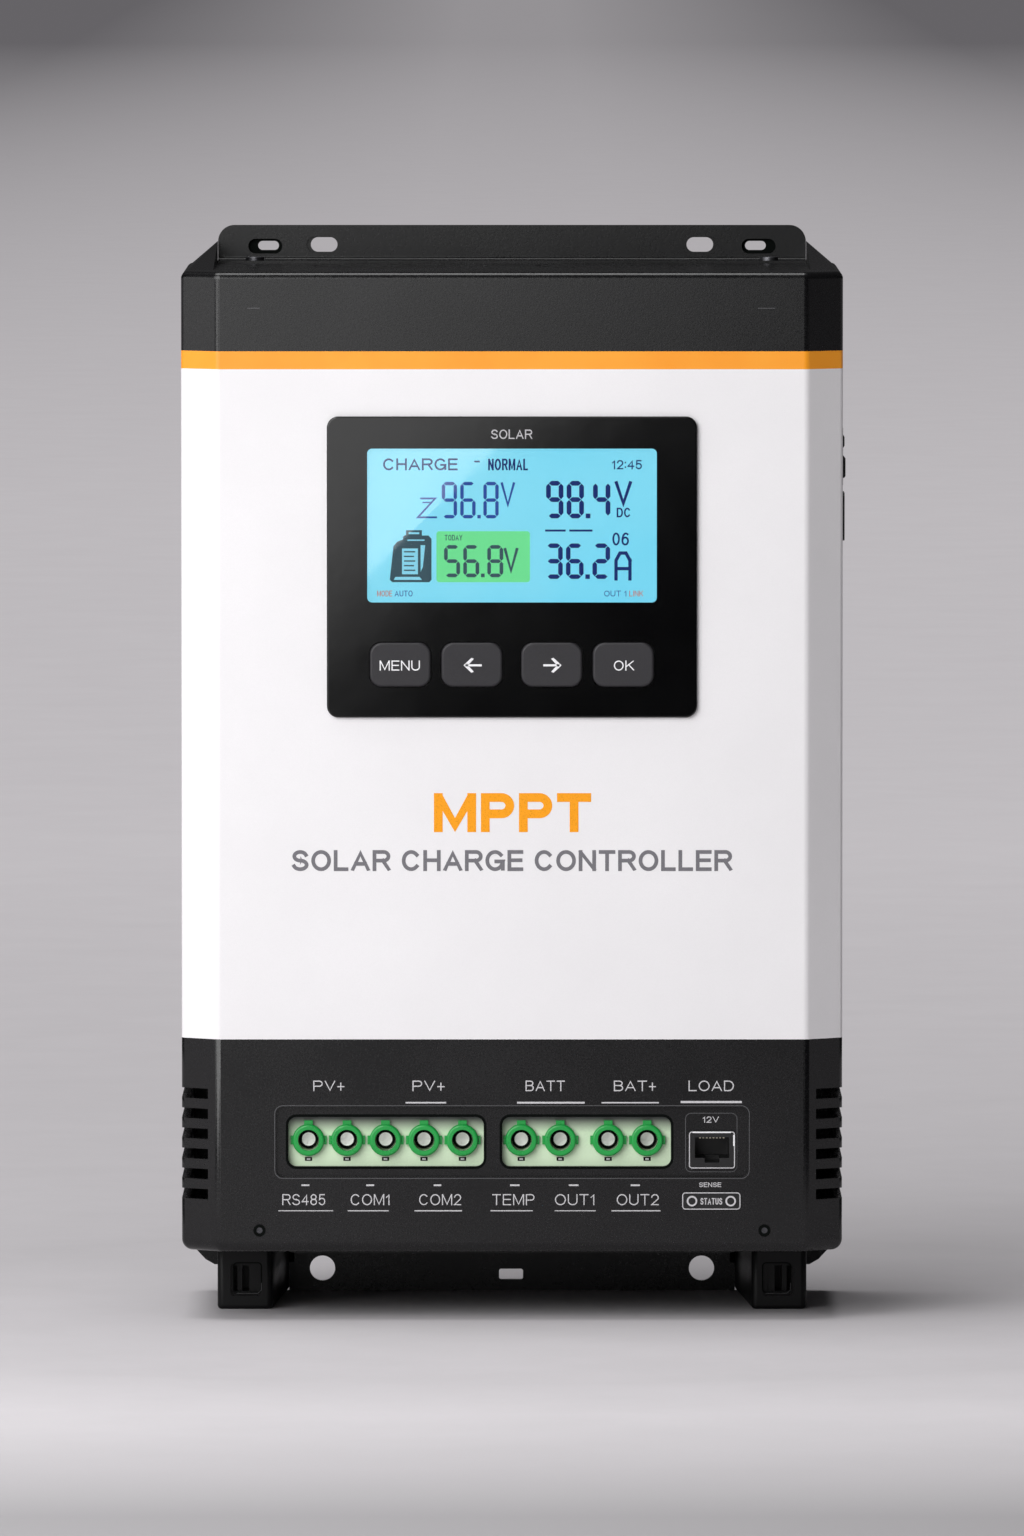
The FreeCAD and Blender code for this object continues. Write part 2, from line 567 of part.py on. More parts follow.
def clamp_cage(x):
    """Box clamp that the screw draws forwards on to the wire."""
    y0, y1 = CAGE_REST_Y, CAGE_REST_Y + CAGE_LENGTH
    body = box(x - CAGE_W / 2, x + CAGE_W / 2, y0, y1, POLE_Z - CAGE_H / 2, POLE_Z + CAGE_H / 2)
    inner = box(x - CAGE_W / 2 + CAGE_WALL, x + CAGE_W / 2 - CAGE_WALL, y0 + 1.6, y1 - 1.4, 40, 70)
    return cut(body, inner, cyl("y", (x, y0 - 1, POLE_Z), 4, SCREW_R + 0.06))


def jack_shape(width, height, depth, wall):
    """A modular socket with its mouth at y = 0, centred on x = z = 0, latch side down."""
    body = box(-width / 2, width / 2, 0, depth, -height / 2, height / 2)
    mouth = box(-width / 2 + wall, width / 2 - wall, -1, depth - 1.5, -height / 2 + 2.4, height / 2 - wall)
    latch = box(-2.2, 2.2, -1, depth - 4, -height / 2 + 1.0, 0)
    return cut(body, mouth, latch)


def load_socket():
    """Output socket beside the terminals, with a proud frame round its mouth."""
    body = jack_shape(12.4, 9.7, 15, 1.0)
    flange = cut(
        panel(0, 0, 14.2, 11.5, 1.2, -0.9, 0),
        box(-5.2, 5.2, -2, 1, -9.7 / 2 + 2.4, 9.7 / 2 - 1.0),
        box(-2.2, 2.2, -2, 1, -9.7 / 2 + 1.0, 0),
    )
    return fuse(body, flange).translated(V(60.5, RECESS_Y, 51.8))


def comm_jack():
    """Communication socket in the side of the shell."""
    body = jack_shape(14.2, 12.4, 14, 1.3)
    flange = cut(
        panel(0, 0, 16.0, 14.4, 1.2, -0.8, 0),
        box(-14.2 / 2 + 1.3, 14.2 / 2 - 1.3, -2, 1, -12.4 / 2 + 2.4, 12.4 / 2 - 1.3),
        box(-2.2, 2.2, -2, 1, -12.4 / 2 + 1.0, 0),
    )
    jack = fuse(body, flange)
    jack.rotate(V(0, 0, 0), V(0, 0, 1), 90)
    return jack.translated(V(CASE_HALF_WIDTH, SIDE_Y, JACK_Z))


def socket_contacts():
    """Eight spring contacts in each socket."""
    pins = []
    for k in range(8):
        x = 60.5 + 1.02 * (k - 3.5)
        pins.append(box(x - 0.25, x + 0.25, RECESS_Y + 3, RECESS_Y + 13.5, 51.8 + 3.2, 51.8 + 3.85))
        y = SIDE_Y + 1.02 * (k - 3.5)
        z = JACK_Z + 4.1
        pins.append(box(CASE_HALF_WIDTH - 12.5, CASE_HALF_WIDTH - 3, y - 0.25, y + 0.25, z, z + 0.8))
    return group(pins)


def status_lights():
    """Small insert with two round light pipes."""
    plate = panel(60.3, 36.4, 17.8, 5.4, 1.0, FRONT_Y - 0.4, FRONT_Y)
    body = panel(60.3, 36.4, 16.4, 4.0, 0.5, FRONT_Y, FRONT_Y + 4)
    lenses = [cyl("y", (60.3 + s * 5.85, FRONT_Y - 0.8, 36.4), 1.0, 1.7) for s in (-1, 1)]
    return fuse(plate, body, *lenses)


# ---- side switch --------------------------------------------------------------------------
def switch_frame():
    """Frame and body of the side rocker switch."""
    x, y, z = CASE_HALF_WIDTH, SIDE_Y, SWITCH_Z
    bezel = rounded(x, x + 0.35, y - 5.6, y + 5.6, z - 8.7, z + 8.7, 1.0, "x")
    body = box(x - 14, x, y - 4.6, y + 4.6, z - 8.2, z + 8.2)
    bowl = cyl("y", (ROCKER_PIVOT_X, y - 3.5, z), 7.0, ROCKER_R + 0.3)
    bowl = bowl.common(box(ROCKER_PIVOT_X - 5, x + 3, y - 6, y + 6, z - 7.6, z + 7.6))
    bearings = cyl("y", (ROCKER_PIVOT_X, y - 4.2, z), 8.4, AXLE_R + 0.05)
    return cut(fuse(bezel, body), bowl, bearings)


def power_rocker():
    """Rocker of the side switch on its axle: a hollow in the middle, and the lower half proud."""
    back_x = ROCKER_PIVOT_X - 1.8
    lower = [(back_x, -4.2), (100.7, -6.6), (101.15, -6.0), (101.15, -0.7), (100.3, 0.4)]
    upper = [(100.2, 2.2), (100.85, 3.2), (100.85, 5.8), (100.4, 6.6), (back_x, 4.2)]
    y0, width = SIDE_Y - 3.2, 6.4
    rocker = extrude([(x, y0, SWITCH_Z + z) for x, z in lower + upper], (0, width, 0))
    return fuse(rocker, cyl("y", (ROCKER_PIVOT_X, SIDE_Y - 4.1, SWITCH_Z), 8.2, AXLE_R))


# ---- inside -------------------------------------------------------------------------------
def main_board():
    """Power board, with the ribbon socket on its front."""
    board = box(-88, 88, *BOARD_Y, 42, 278)
    socket = box(-12, 12, -22.8, BOARD_Y[0], 169.5, 174.5)
    holes = [cyl("y", (x, -20, z), 4, 1.7) for x in (-82, 82) for z in (70, 270)]
    notch = box(84.5, 90, -20, -16, JACK_Z - 12, SWITCH_Z + 10)
    return cut(fuse(board, socket), holes, notch)


def board_standoffs():
    """Posts that hold the board off the heat sink."""
    return group(
        [
            fuse(cyl("y", (x, BOARD_Y[1], z), SINK_Y0 - BOARD_Y[1], 3.0), cyl("y", (x, -20.4, z), 4, 1.6))
            for x in (-82, 82)
            for z in (70, 270)
        ]
    )


def heat_sink():
    """Extruded heat sink: base plate, tall fins, and two thick end fins screwed to the back."""
    low, high = SINK_Z
    base = box(-88, 88, SINK_Y0, SINK_Y1, low, high)
    fins = [box(x - 0.9, x + 0.9, SINK_Y1 - 1, FIN_TIP_Y, low, high) for x in range(-80, 81, 10)]
    ends = [box(s * 84, s * 88, SINK_Y1 - 1, CASE_BACK_Y, low, high) for s in (-1, 1)]
    sink = fuse(base, fins + ends)
    holes = [
        cyl("y", (side * SINK_SCREW_X, CASE_BACK_Y - 12, z), 14, 1.25)
        for side in (-1, 1)
        for z in SINK_SCREW_Z
    ]
    return cut(sink, holes)


def power_transistors():
    """Row of transistors between the board and the heat sink."""
    parts = []
    for k in range(6):
        x = -60 + 24 * k
        body = rounded(x - 7.9, x + 7.9, -16.1, SINK_Y0, 86, 107, 0.8, "y")
        legs = [box(x + s * 5.4 - 0.6, x + s * 5.4 + 0.6, -14.6, -14.0, 79, 86.5) for s in (-1, 0, 1)]
        parts.append(fuse(body, legs))
    return group(parts)


def inductor_cores():
    """Two ring cores standing in front of the board."""
    rings = []
    for x in (-INDUCTOR_X, INDUCTOR_X):
        rings.append(cut(cyl("y", (x, -41, INDUCTOR_Z), 19.5, 25), cyl("y", (x, -42, INDUCTOR_Z), 22, 13)))
    return group(rings)


def inductor_windings():
    """Heavy copper turns round each ring core."""
    turns, count = [], 18
    for x in (-INDUCTOR_X, INDUCTOR_X):
        for k in range(count):
            outer = box(10.8, 27.3, -43.3, -19.2, -1.1, 1.1)
            turn = cut(outer, box(12.8, 25.3, -41.3, -21.2, -2, 2))
            turn.rotate(V(0, 0, 0), V(0, 1, 0), 360.0 * k / count)
            turns.append(turn.translated(V(x, 0, INDUCTOR_Z)))
    return group(turns)


def capacitors():
    """Bank of electrolytic cans behind the display."""
    cans = []
    for k in range(8):
        can = cyl("z", (-70 + 20 * k, -27.0, 206), 32, 8.0)
        rims = [e for e in can.Edges if e.Curve.TypeId == "Part::GeomCircle"]
        cans.append(can.makeFillet(1.0, rims))
    return group(cans)


def fuse_link():
    """Bolted fuse in the battery path."""
    body = rounded(16, 40, -30, -22.5, 74, 84, 1.2, "x")
    ends = [box(x, x + 8, -24.5, BOARD_Y[0], 75.5, 82.5) for x in (8.5, 39.5)]
    return fuse(body, ends)


def fan_frames():
    """Two square fan frames with a motor seat and shaft each."""
    frames = []
    half = FAN_SIZE / 2
    for x in (-FAN_X, FAN_X):
        low, high = FAN_Z
        frame = rounded(x - half, x + half, FAN_Y - half, FAN_Y + half, low, high, 3, "z")
        frame = cut(frame, cyl("z", (x, FAN_Y, low - 1), high - low + 2, 27.6))
        seat = cyl("z", (x, FAN_Y, low), 1.4, 12.5)
        arms = []
        for k in range(4):
            arm = box(10, 28.2, -1.2, 1.2, 0, 1.4)
            arm.rotate(V(0, 0, 0), V(0, 0, 1), 90.0 * k + 45)
            arms.append(arm.translated(V(x, FAN_Y, low)))
        shaft = cyl("z", (x, FAN_Y, low + 1), 9, 1.5)
        holes = [
            cyl("z", (x + sx * 25, FAN_Y + sy * 25, low - 1), high - low + 2, 2.1)
            for sx in (-1, 1)
            for sy in (-1, 1)
        ]
        frames.append(cut(fuse(frame, seat, shaft, *arms), holes))
    return group(frames)


def impeller(x):
    """Fan rotor: a hub with seven pitched blades, running on the frame's shaft."""
    z0, z1 = FAN_Z[0] + 2.0, FAN_Z[1] - 1.2
    hub = cyl("z", (x, FAN_Y, z0), z1 - z0, 11.5)
    hub = hub.makeFillet(1.0, [e for e in hub.Edges if abs(e.BoundBox.ZMin - z1) < 1e-4])
    blades = []
    for k in range(7):
        blade = box(10, 26.6, -0.7, 0.7, -8, 8)
        blade.rotate(V(0, 0, 0), V(1, 0, 0), 52)
        blade = blade.common(cyl("z", (0, 0, -4.8), 9.6, 26.6))
        blade.rotate(V(0, 0, 0), V(0, 0, 1), 360.0 * k / 7)
        blades.append(blade.translated(V(x, FAN_Y, (z0 + z1) / 2)))
    rotor = fuse(hub, blades)
    return cut(rotor, cyl("z", (x, FAN_Y, z0 - 1), 9.5, 1.56))


def screw(place, outward, head_r, head_t, shank_r, length):
    """A cross-head screw: its head stands on place and points outward, its shank goes in."""
    head = cyl("z", (0, 0, 0), head_t, head_r)
    rim = [e for e in head.Edges if abs(e.BoundBox.ZMin - head_t) < 1e-4]
    head = head.makeFillet(0.3, rim)
    shank = cyl("z", (0, 0, -length), length + 0.2, shank_r)
    arm = 0.62 * head_r
    cross = [box(-p, p, -q, q, head_t - 0.6, head_t + 1) for p, q in ((arm, 0.3), (0.3, arm))]
    whole = cut(fuse(head, shank), cross)
    whole.Placement = FreeCAD.Placement(V(*place), FreeCAD.Rotation(V(0, 0, 1), V(*outward)))
    return whole


def case_screws():
    """Screws of the cover, the back plate and both brackets."""
    screws = []
    for s in (-1, 1):
        screws.append(screw((s * COVER_SCREW_X, FRONT_Y + 1.2, COVER_SCREW_Z), (0, -1, 0), 1.15, 0.8, 0.9, 8))
        screws.append(screw((s * ROOF_SCREW_X, ROOF_SCREW_Y, LEG_Z + 1.6), (0, 0, 1), 2.8, 1.1, 1.5, 6))
        screws.append(screw((s * FLOOR_SCREW_X, FLOOR_SCREW_Y, FLOOR_Z - 1.6), (0, 0, -1), 2.8, 1.6, 1.5, 6))
        for z in SINK_SCREW_Z:
            screws.append(screw((s * SINK_SCREW_X, CASE_BACK_Y + 1.5, z), (0, 1, 0), 2.8, 1.3, 1.2, 9))
    return group(screws)


def build():
    """Every node's name and shape."""
    channels = bar_channels()
    nodes = {
        "front_shell": front_shell(),
        "accent_band": accent_band(),
        "top_cover": top_cover(),
        "bottom_cover": bottom_cover(),
        "cable_slot_trim": cable_slot_trim(),
        "back_plate": back_plate(),
        "top_bracket": top_bracket(),
        "lower_bracket": lower_bracket(),
        "foot_right": foot(),
        "foot_left": mirrored(foot()),
        "display_bezel": display_bezel(),
        "display_window": display_window(),
        "lcd_module": lcd_module(),
        "display_board": display_board(),
        "button_switches": button_switches(),
        "ribbon_cable": ribbon_cable(),
        "pv_terminal_block": cut(terminal_block(-69.2, -7.0, PV_POLES), channels),
        "battery_terminal_block": cut(terminal_block(-4.5, 49.6, BATTERY_POLES), channels),
        "terminal_collars": terminal_collars(),
        "contact_bars": contact_bars(),
        "load_socket": load_socket(),
        "comm_jack": comm_jack(),
        "socket_contacts": socket_contacts(),
        "status_lights": status_lights(),
        "switch_frame": switch_frame(),
        "power_rocker": power_rocker(),
        "main_board": main_board(),
        "board_standoffs": board_standoffs(),
        "heat_sink": heat_sink(),
        "power_transistors": power_transistors(),
        "inductor_cores": inductor_cores(),
        "inductor_windings": inductor_windings(),
        "capacitors": capacitors(),
        "fuse_link": fuse_link(),
        "fan_frames": fan_frames(),
        "impeller_left": impeller(-FAN_X),
        "impeller_right": impeller(FAN_X),
        "case_screws": case_screws(),
    }
    for name, x in BUTTON_X.items():
        nodes[f"button_{name}"] = button(x)
    for label, poles in (("pv", PV_POLES), ("battery", BATTERY_POLES)):
        for number, x in enumerate(poles, 1):
            nodes[f"{label}_screw_{number}"] = terminal_screw(x)
            nodes[f"{label}_clamp_{number}"] = clamp_cage(x)
    return nodes


os.makedirs("parts", exist_ok=True)
for name, shape in build().items():
    solids = shape.Solids
    state = "ok" if solids and all(s.isValid() and s.Volume > 0 for s in solids) else "BROKEN"
    if state != "ok" or len(solids) > 1:
        print(name, len(solids), "solids", state)
    whole = solids[0] if len(solids) == 1 else Part.makeCompound(solids)
    whole.exportStep(f"parts/{name}.step")
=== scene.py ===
"""Looks of the wall-mount solar charge controller: materials, printing, display, light and camera.

Lengths in this file are written in millimetres and turned into metres by mm().
"""

import json
import math

import bmesh
import bpy
from mathutils import Matrix, Vector

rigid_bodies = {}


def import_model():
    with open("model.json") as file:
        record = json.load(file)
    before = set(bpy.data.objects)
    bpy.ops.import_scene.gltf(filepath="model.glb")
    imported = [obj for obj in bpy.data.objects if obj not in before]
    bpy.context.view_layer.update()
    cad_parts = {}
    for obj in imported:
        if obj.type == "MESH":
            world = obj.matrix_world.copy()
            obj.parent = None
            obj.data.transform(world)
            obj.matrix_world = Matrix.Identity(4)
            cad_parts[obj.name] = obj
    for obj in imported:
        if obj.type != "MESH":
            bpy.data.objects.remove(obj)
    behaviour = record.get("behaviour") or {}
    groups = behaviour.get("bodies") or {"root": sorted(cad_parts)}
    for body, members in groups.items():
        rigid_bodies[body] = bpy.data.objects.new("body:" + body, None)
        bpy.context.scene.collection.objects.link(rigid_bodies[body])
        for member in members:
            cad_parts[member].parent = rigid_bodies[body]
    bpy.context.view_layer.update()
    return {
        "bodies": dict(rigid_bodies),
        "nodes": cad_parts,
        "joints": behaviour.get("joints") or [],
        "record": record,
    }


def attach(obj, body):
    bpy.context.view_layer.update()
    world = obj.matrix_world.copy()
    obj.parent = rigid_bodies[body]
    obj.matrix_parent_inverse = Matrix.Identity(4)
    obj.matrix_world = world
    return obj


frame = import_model()
NODES = frame["nodes"]

# ---- sizes --------------------------------------------------------------------------------
FRONT_Y = -50.5  # flat front of the case
PANEL_Y = -51.9  # face of the display panel
BUTTON_Y = -53.0  # faces of the buttons
LCD_Y = -50.3  # face of the display glass
RECESS_Y = -49.0  # floor of the terminal recess
SOCKET_Y = -49.9  # frame of the output socket
LIGHTS_Y = -50.9  # plate of the status lights
LIGHT_PIPE_Y = -51.3  # ends of the two light pipes
BLOCK_Y = -46.2  # faces of the terminal blocks
SCREW_Y = -43.5  # heads of the terminal screws
POLE_Z = 54.6  # height of the terminal screws
PV_POLES = [-61.6 + 11.65 * k for k in range(5)]  # terminal screws along X
BATTERY_POLES = [2.8, 14.6, 29.1, 40.9]
TERMINAL_WINDOWS = ((-67.7, -8.5), (-3.0, 48.1))  # left and right ends of the openings in the recess
FOOT_FRONT_Y = -12.5  # fronts of the feet
BRACKET_POCKET_Y = 52.2  # floors of the pockets in the upper bracket
PRINT = 0.04  # thickness of printed ink
STROKE_STEP = 0.008  # how far crossing strokes lie in front of each other


def mm(*values):
    """Millimetres to metres: one number, or a vector from three."""
    return values[0] / 1000 if len(values) == 1 else Vector(values) / 1000


# ---- node helpers -------------------------------------------------------------------------
class Graph:
    """A material's node tree, with short ways to add nodes and join them."""

    def __init__(self, name):
        self.material = bpy.data.materials.new(name)
        self.material.use_nodes = True
        self.tree = self.material.node_tree
        self.tree.nodes.clear()
        self.out = self.tree.nodes.new("ShaderNodeOutputMaterial")
        self.shader = self.tree.nodes.new("ShaderNodeBsdfPrincipled")
        self.join(self.shader.outputs[0], self.out.inputs["Surface"])
        self.coords = self.tree.nodes.new("ShaderNodeTexCoord").outputs["Object"]

    def join(self, source, target):
        self.tree.links.new(source, target)

    def set(self, **values):
        """Sets sockets of the shader; underscores stand for spaces."""
        for key, value in values.items():
            self.shader.inputs[key.replace("_", " ")].default_value = value
        return self

    def noise(self, size, detail=3.0, rough=0.55, stretch=(1, 1, 1)):
        """Noise whose features are about size millimetres wide."""
        node = self.tree.nodes.new("ShaderNodeTexNoise")
        node.inputs["Scale"].default_value = 1000 / size
        node.inputs["Detail"].default_value = detail
        node.inputs["Roughness"].default_value = rough
        if tuple(stretch) == (1, 1, 1):
            self.join(self.coords, node.inputs["Vector"])
        else:
            scale = self.tree.nodes.new("ShaderNodeMapping")
            scale.inputs["Scale"].default_value = stretch
            self.join(self.coords, scale.inputs["Vector"])
            self.join(scale.outputs[0], node.inputs["Vector"])
        return node.outputs["Fac"]

    def cells(self, size):
        """Distance to the nearest of scattered points, size millimetres apart."""
        node = self.tree.nodes.new("ShaderNodeTexVoronoi")
        node.inputs["Scale"].default_value = 1000 / size
        self.join(self.coords, node.inputs["Vector"])
        return node.outputs["Distance"]

    def span(self, source, low, high, a, b):
        """Maps low..high of a value on to a..b."""
        node = self.tree.nodes.new("ShaderNodeMapRange")
        for socket, value in zip(("From Min", "From Max", "To Min", "To Max"), (low, high, a, b)):
            node.inputs[socket].default_value = value
        self.join(source, node.inputs["Value"])
        return node.outputs["Result"]

    def math(self, kind, a, b):
        node = self.tree.nodes.new("ShaderNodeMath")
        node.operation = kind
        for socket, value in zip(node.inputs, (a, b)):
            if isinstance(value, (int, float)):
                socket.default_value = value
            else:
                self.join(value, socket)
        return node.outputs[0]

    def mix(self, factor, a, b):
        """Mixes two colours, each a triple or a socket."""
        node = self.tree.nodes.new("ShaderNodeMix")
        node.data_type = "RGBA"
        self.join(factor, node.inputs["Factor"])
        for socket, value in zip((node.inputs[6], node.inputs[7]), (a, b)):
            if isinstance(value, tuple):
                socket.default_value = (*value, 1)
            else:
                self.join(value, socket)
        return node.outputs[2]

    def colour(self, source):
        self.join(source, self.shader.inputs["Base Color"])
        return self

    def rough(self, source):
        self.join(source, self.shader.inputs["Roughness"])
        return self

    def bump(self, height, depth, strength=1.0):
        """Bump of the given depth in millimetres; calls stack on each other."""
        node = self.tree.nodes.new("ShaderNodeBump")
        node.inputs["Strength"].default_value = strength
        node.inputs["Distance"].default_value = mm(depth)
        self.join(height, node.inputs["Height"])
        normal = self.shader.inputs["Normal"]
        if normal.is_linked:
            self.join(normal.links[0].from_socket, node.inputs["Normal"])
        self.join(node.outputs[0], normal)
        return self

    def along(self, way, low, high, a=0.0, b=1.0):
        """Distance along a direction in metres, mapped from low..high on to a..b."""
        node = self.tree.nodes.new("ShaderNodeVectorMath")
        node.operation = "DOT_PRODUCT"
        self.join(self.coords, node.inputs[0])
        node.inputs[1].default_value = way
        return self.span(node.outputs["Value"], low, high, a, b)


def tint(rgb, factor):
    """A colour made lighter or darker."""
    return tuple(min(1.0, c * factor) for c in rgb)


def moulded(name, rgb, rough=0.5, grain=0.45, depth=0.02, wear=1.25, specular=0.5):
    """Moulded plastic: spark-eroded grain and faint mottling."""
    g = Graph(name).set(Specular_IOR_Level=specular)
    cloud = g.noise(38, 4)
    fine = g.noise(grain, 2, 0.6)
    base = g.mix(g.span(cloud, 0.35, 0.65, 0, 1), tint(rgb, 0.9), tint(rgb, 1.12))
    g.colour(g.mix(g.span(fine, 0.3, 0.7, 0, 1), base, tint(rgb, wear)))
    satin = g.span(fine, 0.3, 0.7, rough - 0.05, rough + 0.06)
    g.rough(g.math("ADD", satin, g.span(cloud, 0.3, 0.7, -0.04, 0.04)))
    return g.bump(fine, depth).bump(g.cells(grain * 2.2), depth * 0.6, 0.5)


def gloss(name, rgb, rough=0.18, haze=0.07, specular=0.5):
    """Gloss plastic with handling smudges and a very slight ripple."""
    g = Graph(name).set(Specular_IOR_Level=specular)
    smudge = g.noise(22, 5, 0.65)
    dust = g.noise(0.5, 2)
    g.colour(g.mix(g.span(smudge, 0.4, 0.7, 0, 1), rgb, tint(rgb, 1.15)))
    satin = g.span(smudge, 0.35, 0.7, rough, rough + haze)
    g.rough(g.math("ADD", satin, g.span(dust, 0.55, 0.8, 0, haze)))
    return g.bump(g.noise(9, 2), 0.012)


def metal(name, rgb, rough=0.3, stretch=(1, 1, 14), scratch=0.5):
    """Bare metal with drawn or brushed lines along one axis and some tarnish."""
    g = Graph(name).set(Metallic=1.0)
    lines = g.noise(scratch, 4, 0.6, stretch)
    stain = g.noise(12, 4)
    g.colour(g.mix(g.span(stain, 0.35, 0.7, 0, 1), rgb, tint(rgb, 0.82)))
    brushed = g.span(lines, 0.3, 0.7, rough - 0.06, rough + 0.1)
    g.rough(g.math("ADD", brushed, g.span(stain, 0.3, 0.7, -0.03, 0.06)))
    return g.bump(lines, 0.01)


def powder_white():
    """White powder coat: orange peel, faint mottling and fine flecks."""
    g = Graph("white_powder_coat").set(Specular_IOR_Level=0.45, Coat_Weight=0.08, Coat_Roughness=0.35)
    peel = g.noise(1.1, 3, 0.5)
    fleck = g.noise(0.28, 2)
    cloud = g.noise(60, 4)
    base = g.mix(g.span(cloud, 0.35, 0.65, 0, 1), (0.86, 0.845, 0.86), (0.90, 0.885, 0.90))
    g.colour(g.mix(g.span(fleck, 0.35, 0.75, 0, 0.35), base, (0.80, 0.785, 0.80)))
    g.rough(g.span(peel, 0.3, 0.7, 0.40, 0.50))
    return g.bump(peel, 0.020).bump(fleck, 0.006)


def orange_trim():
    """Orange satin trim."""
    g = Graph("orange_satin").set(Specular_IOR_Level=0.5)
    cloud = g.noise(30, 3)
    fine = g.noise(0.4, 2)
    g.colour(g.mix(g.span(cloud, 0.35, 0.65, 0, 1), (0.98, 0.335, 0.012), (1.0, 0.385, 0.022)))
    g.rough(g.span(fine, 0.3, 0.7, 0.30, 0.42))
    return g.bump(fine, 0.01)


def clear_lens():
    """Clear acrylic."""
    g = Graph("clear_acrylic").set(Transmission_Weight=1.0, IOR=1.47, Specular_IOR_Level=0.2)
    g.set(Base_Color=(0.97, 0.99, 1.0, 1))
    smudge = g.noise(18, 4)
    return g.rough(g.span(smudge, 0.4, 0.75, 0.0, 0.05))


def terminal_body():
    """Pale green housing, with painted shade along its top under the lip of the opening."""
    g = moulded("terminal_green_shaded_top", (0.68, 0.84, 0.60), 0.36, 0.7, 0.010, 1.05)
    unshaded = g.shader.inputs["Base Color"].links[0].from_socket
    # Painted shade: the top of the housing darkens to grey-green, standing in for the shadow of the
    # opening's lip.
    return g.colour(g.mix(g.along((0, 0, 1), mm(56.8), mm(61.2)), unshaded, (0.10, 0.11, 0.10)))


def glowing(name, rgb, strength=0.82, second=None):
    """A lit part of the display, drifting from one colour at the upper left to another."""
    g = Graph(name).set(Emission_Strength=strength, Specular_IOR_Level=0.2)
    cloud = g.span(g.noise(55, 2), 0.3, 0.7, -0.35, 0.35)
    drift = g.math("ADD", cloud, g.along((1, 0, -1), -0.30, -0.19))
    colour = g.mix(g.span(drift, 0, 1, 0, 1), rgb, second or tint(rgb, 1.05))
    g.join(colour, g.shader.inputs["Emission Color"])
    pixels = g.noise(0.35, 2)
    g.colour(g.mix(pixels, tint(rgb, 0.22), tint(rgb, 0.30)))
    return g.rough(g.span(pixels, 0.3, 0.7, 0.35, 0.45))


def ink(name, rgb, rough=0.5, specular=0.3):
    """Screen-printed ink with slight thin spots."""
    g = Graph(name).set(Specular_IOR_Level=specular)
    spots = g.noise(0.35, 3, 0.6)
    g.colour(g.mix(g.span(spots, 0.52, 0.75, 0, 1), rgb, tint(rgb, 0.72)))
    g.rough(g.span(spots, 0.3, 0.7, rough - 0.08, rough + 0.08))
    return g.bump(spots, 0.008)


def circuit_board():
    """Solder mask over copper, with rows of tinned joints."""
    g = Graph("circuit_board").set(Specular_IOR_Level=0.5)
    joints = g.span(g.cells(3.1), 0.16, 0.2, 1, 0)
    track = g.span(g.noise(7, 1), 0.49, 0.51, 0, 1)
    mask = g.mix(track, (0.010, 0.075, 0.030), (0.018, 0.120, 0.050))
    g.colour(g.mix(joints, mask, (0.62, 0.62, 0.60)))
    g.join(g.span(joints, 0, 1, 0, 0.9), g.shader.inputs["Metallic"])
    g.rough(g.span(joints, 0, 1, 0.28, 0.38))
    return g.bump(track, 0.05)


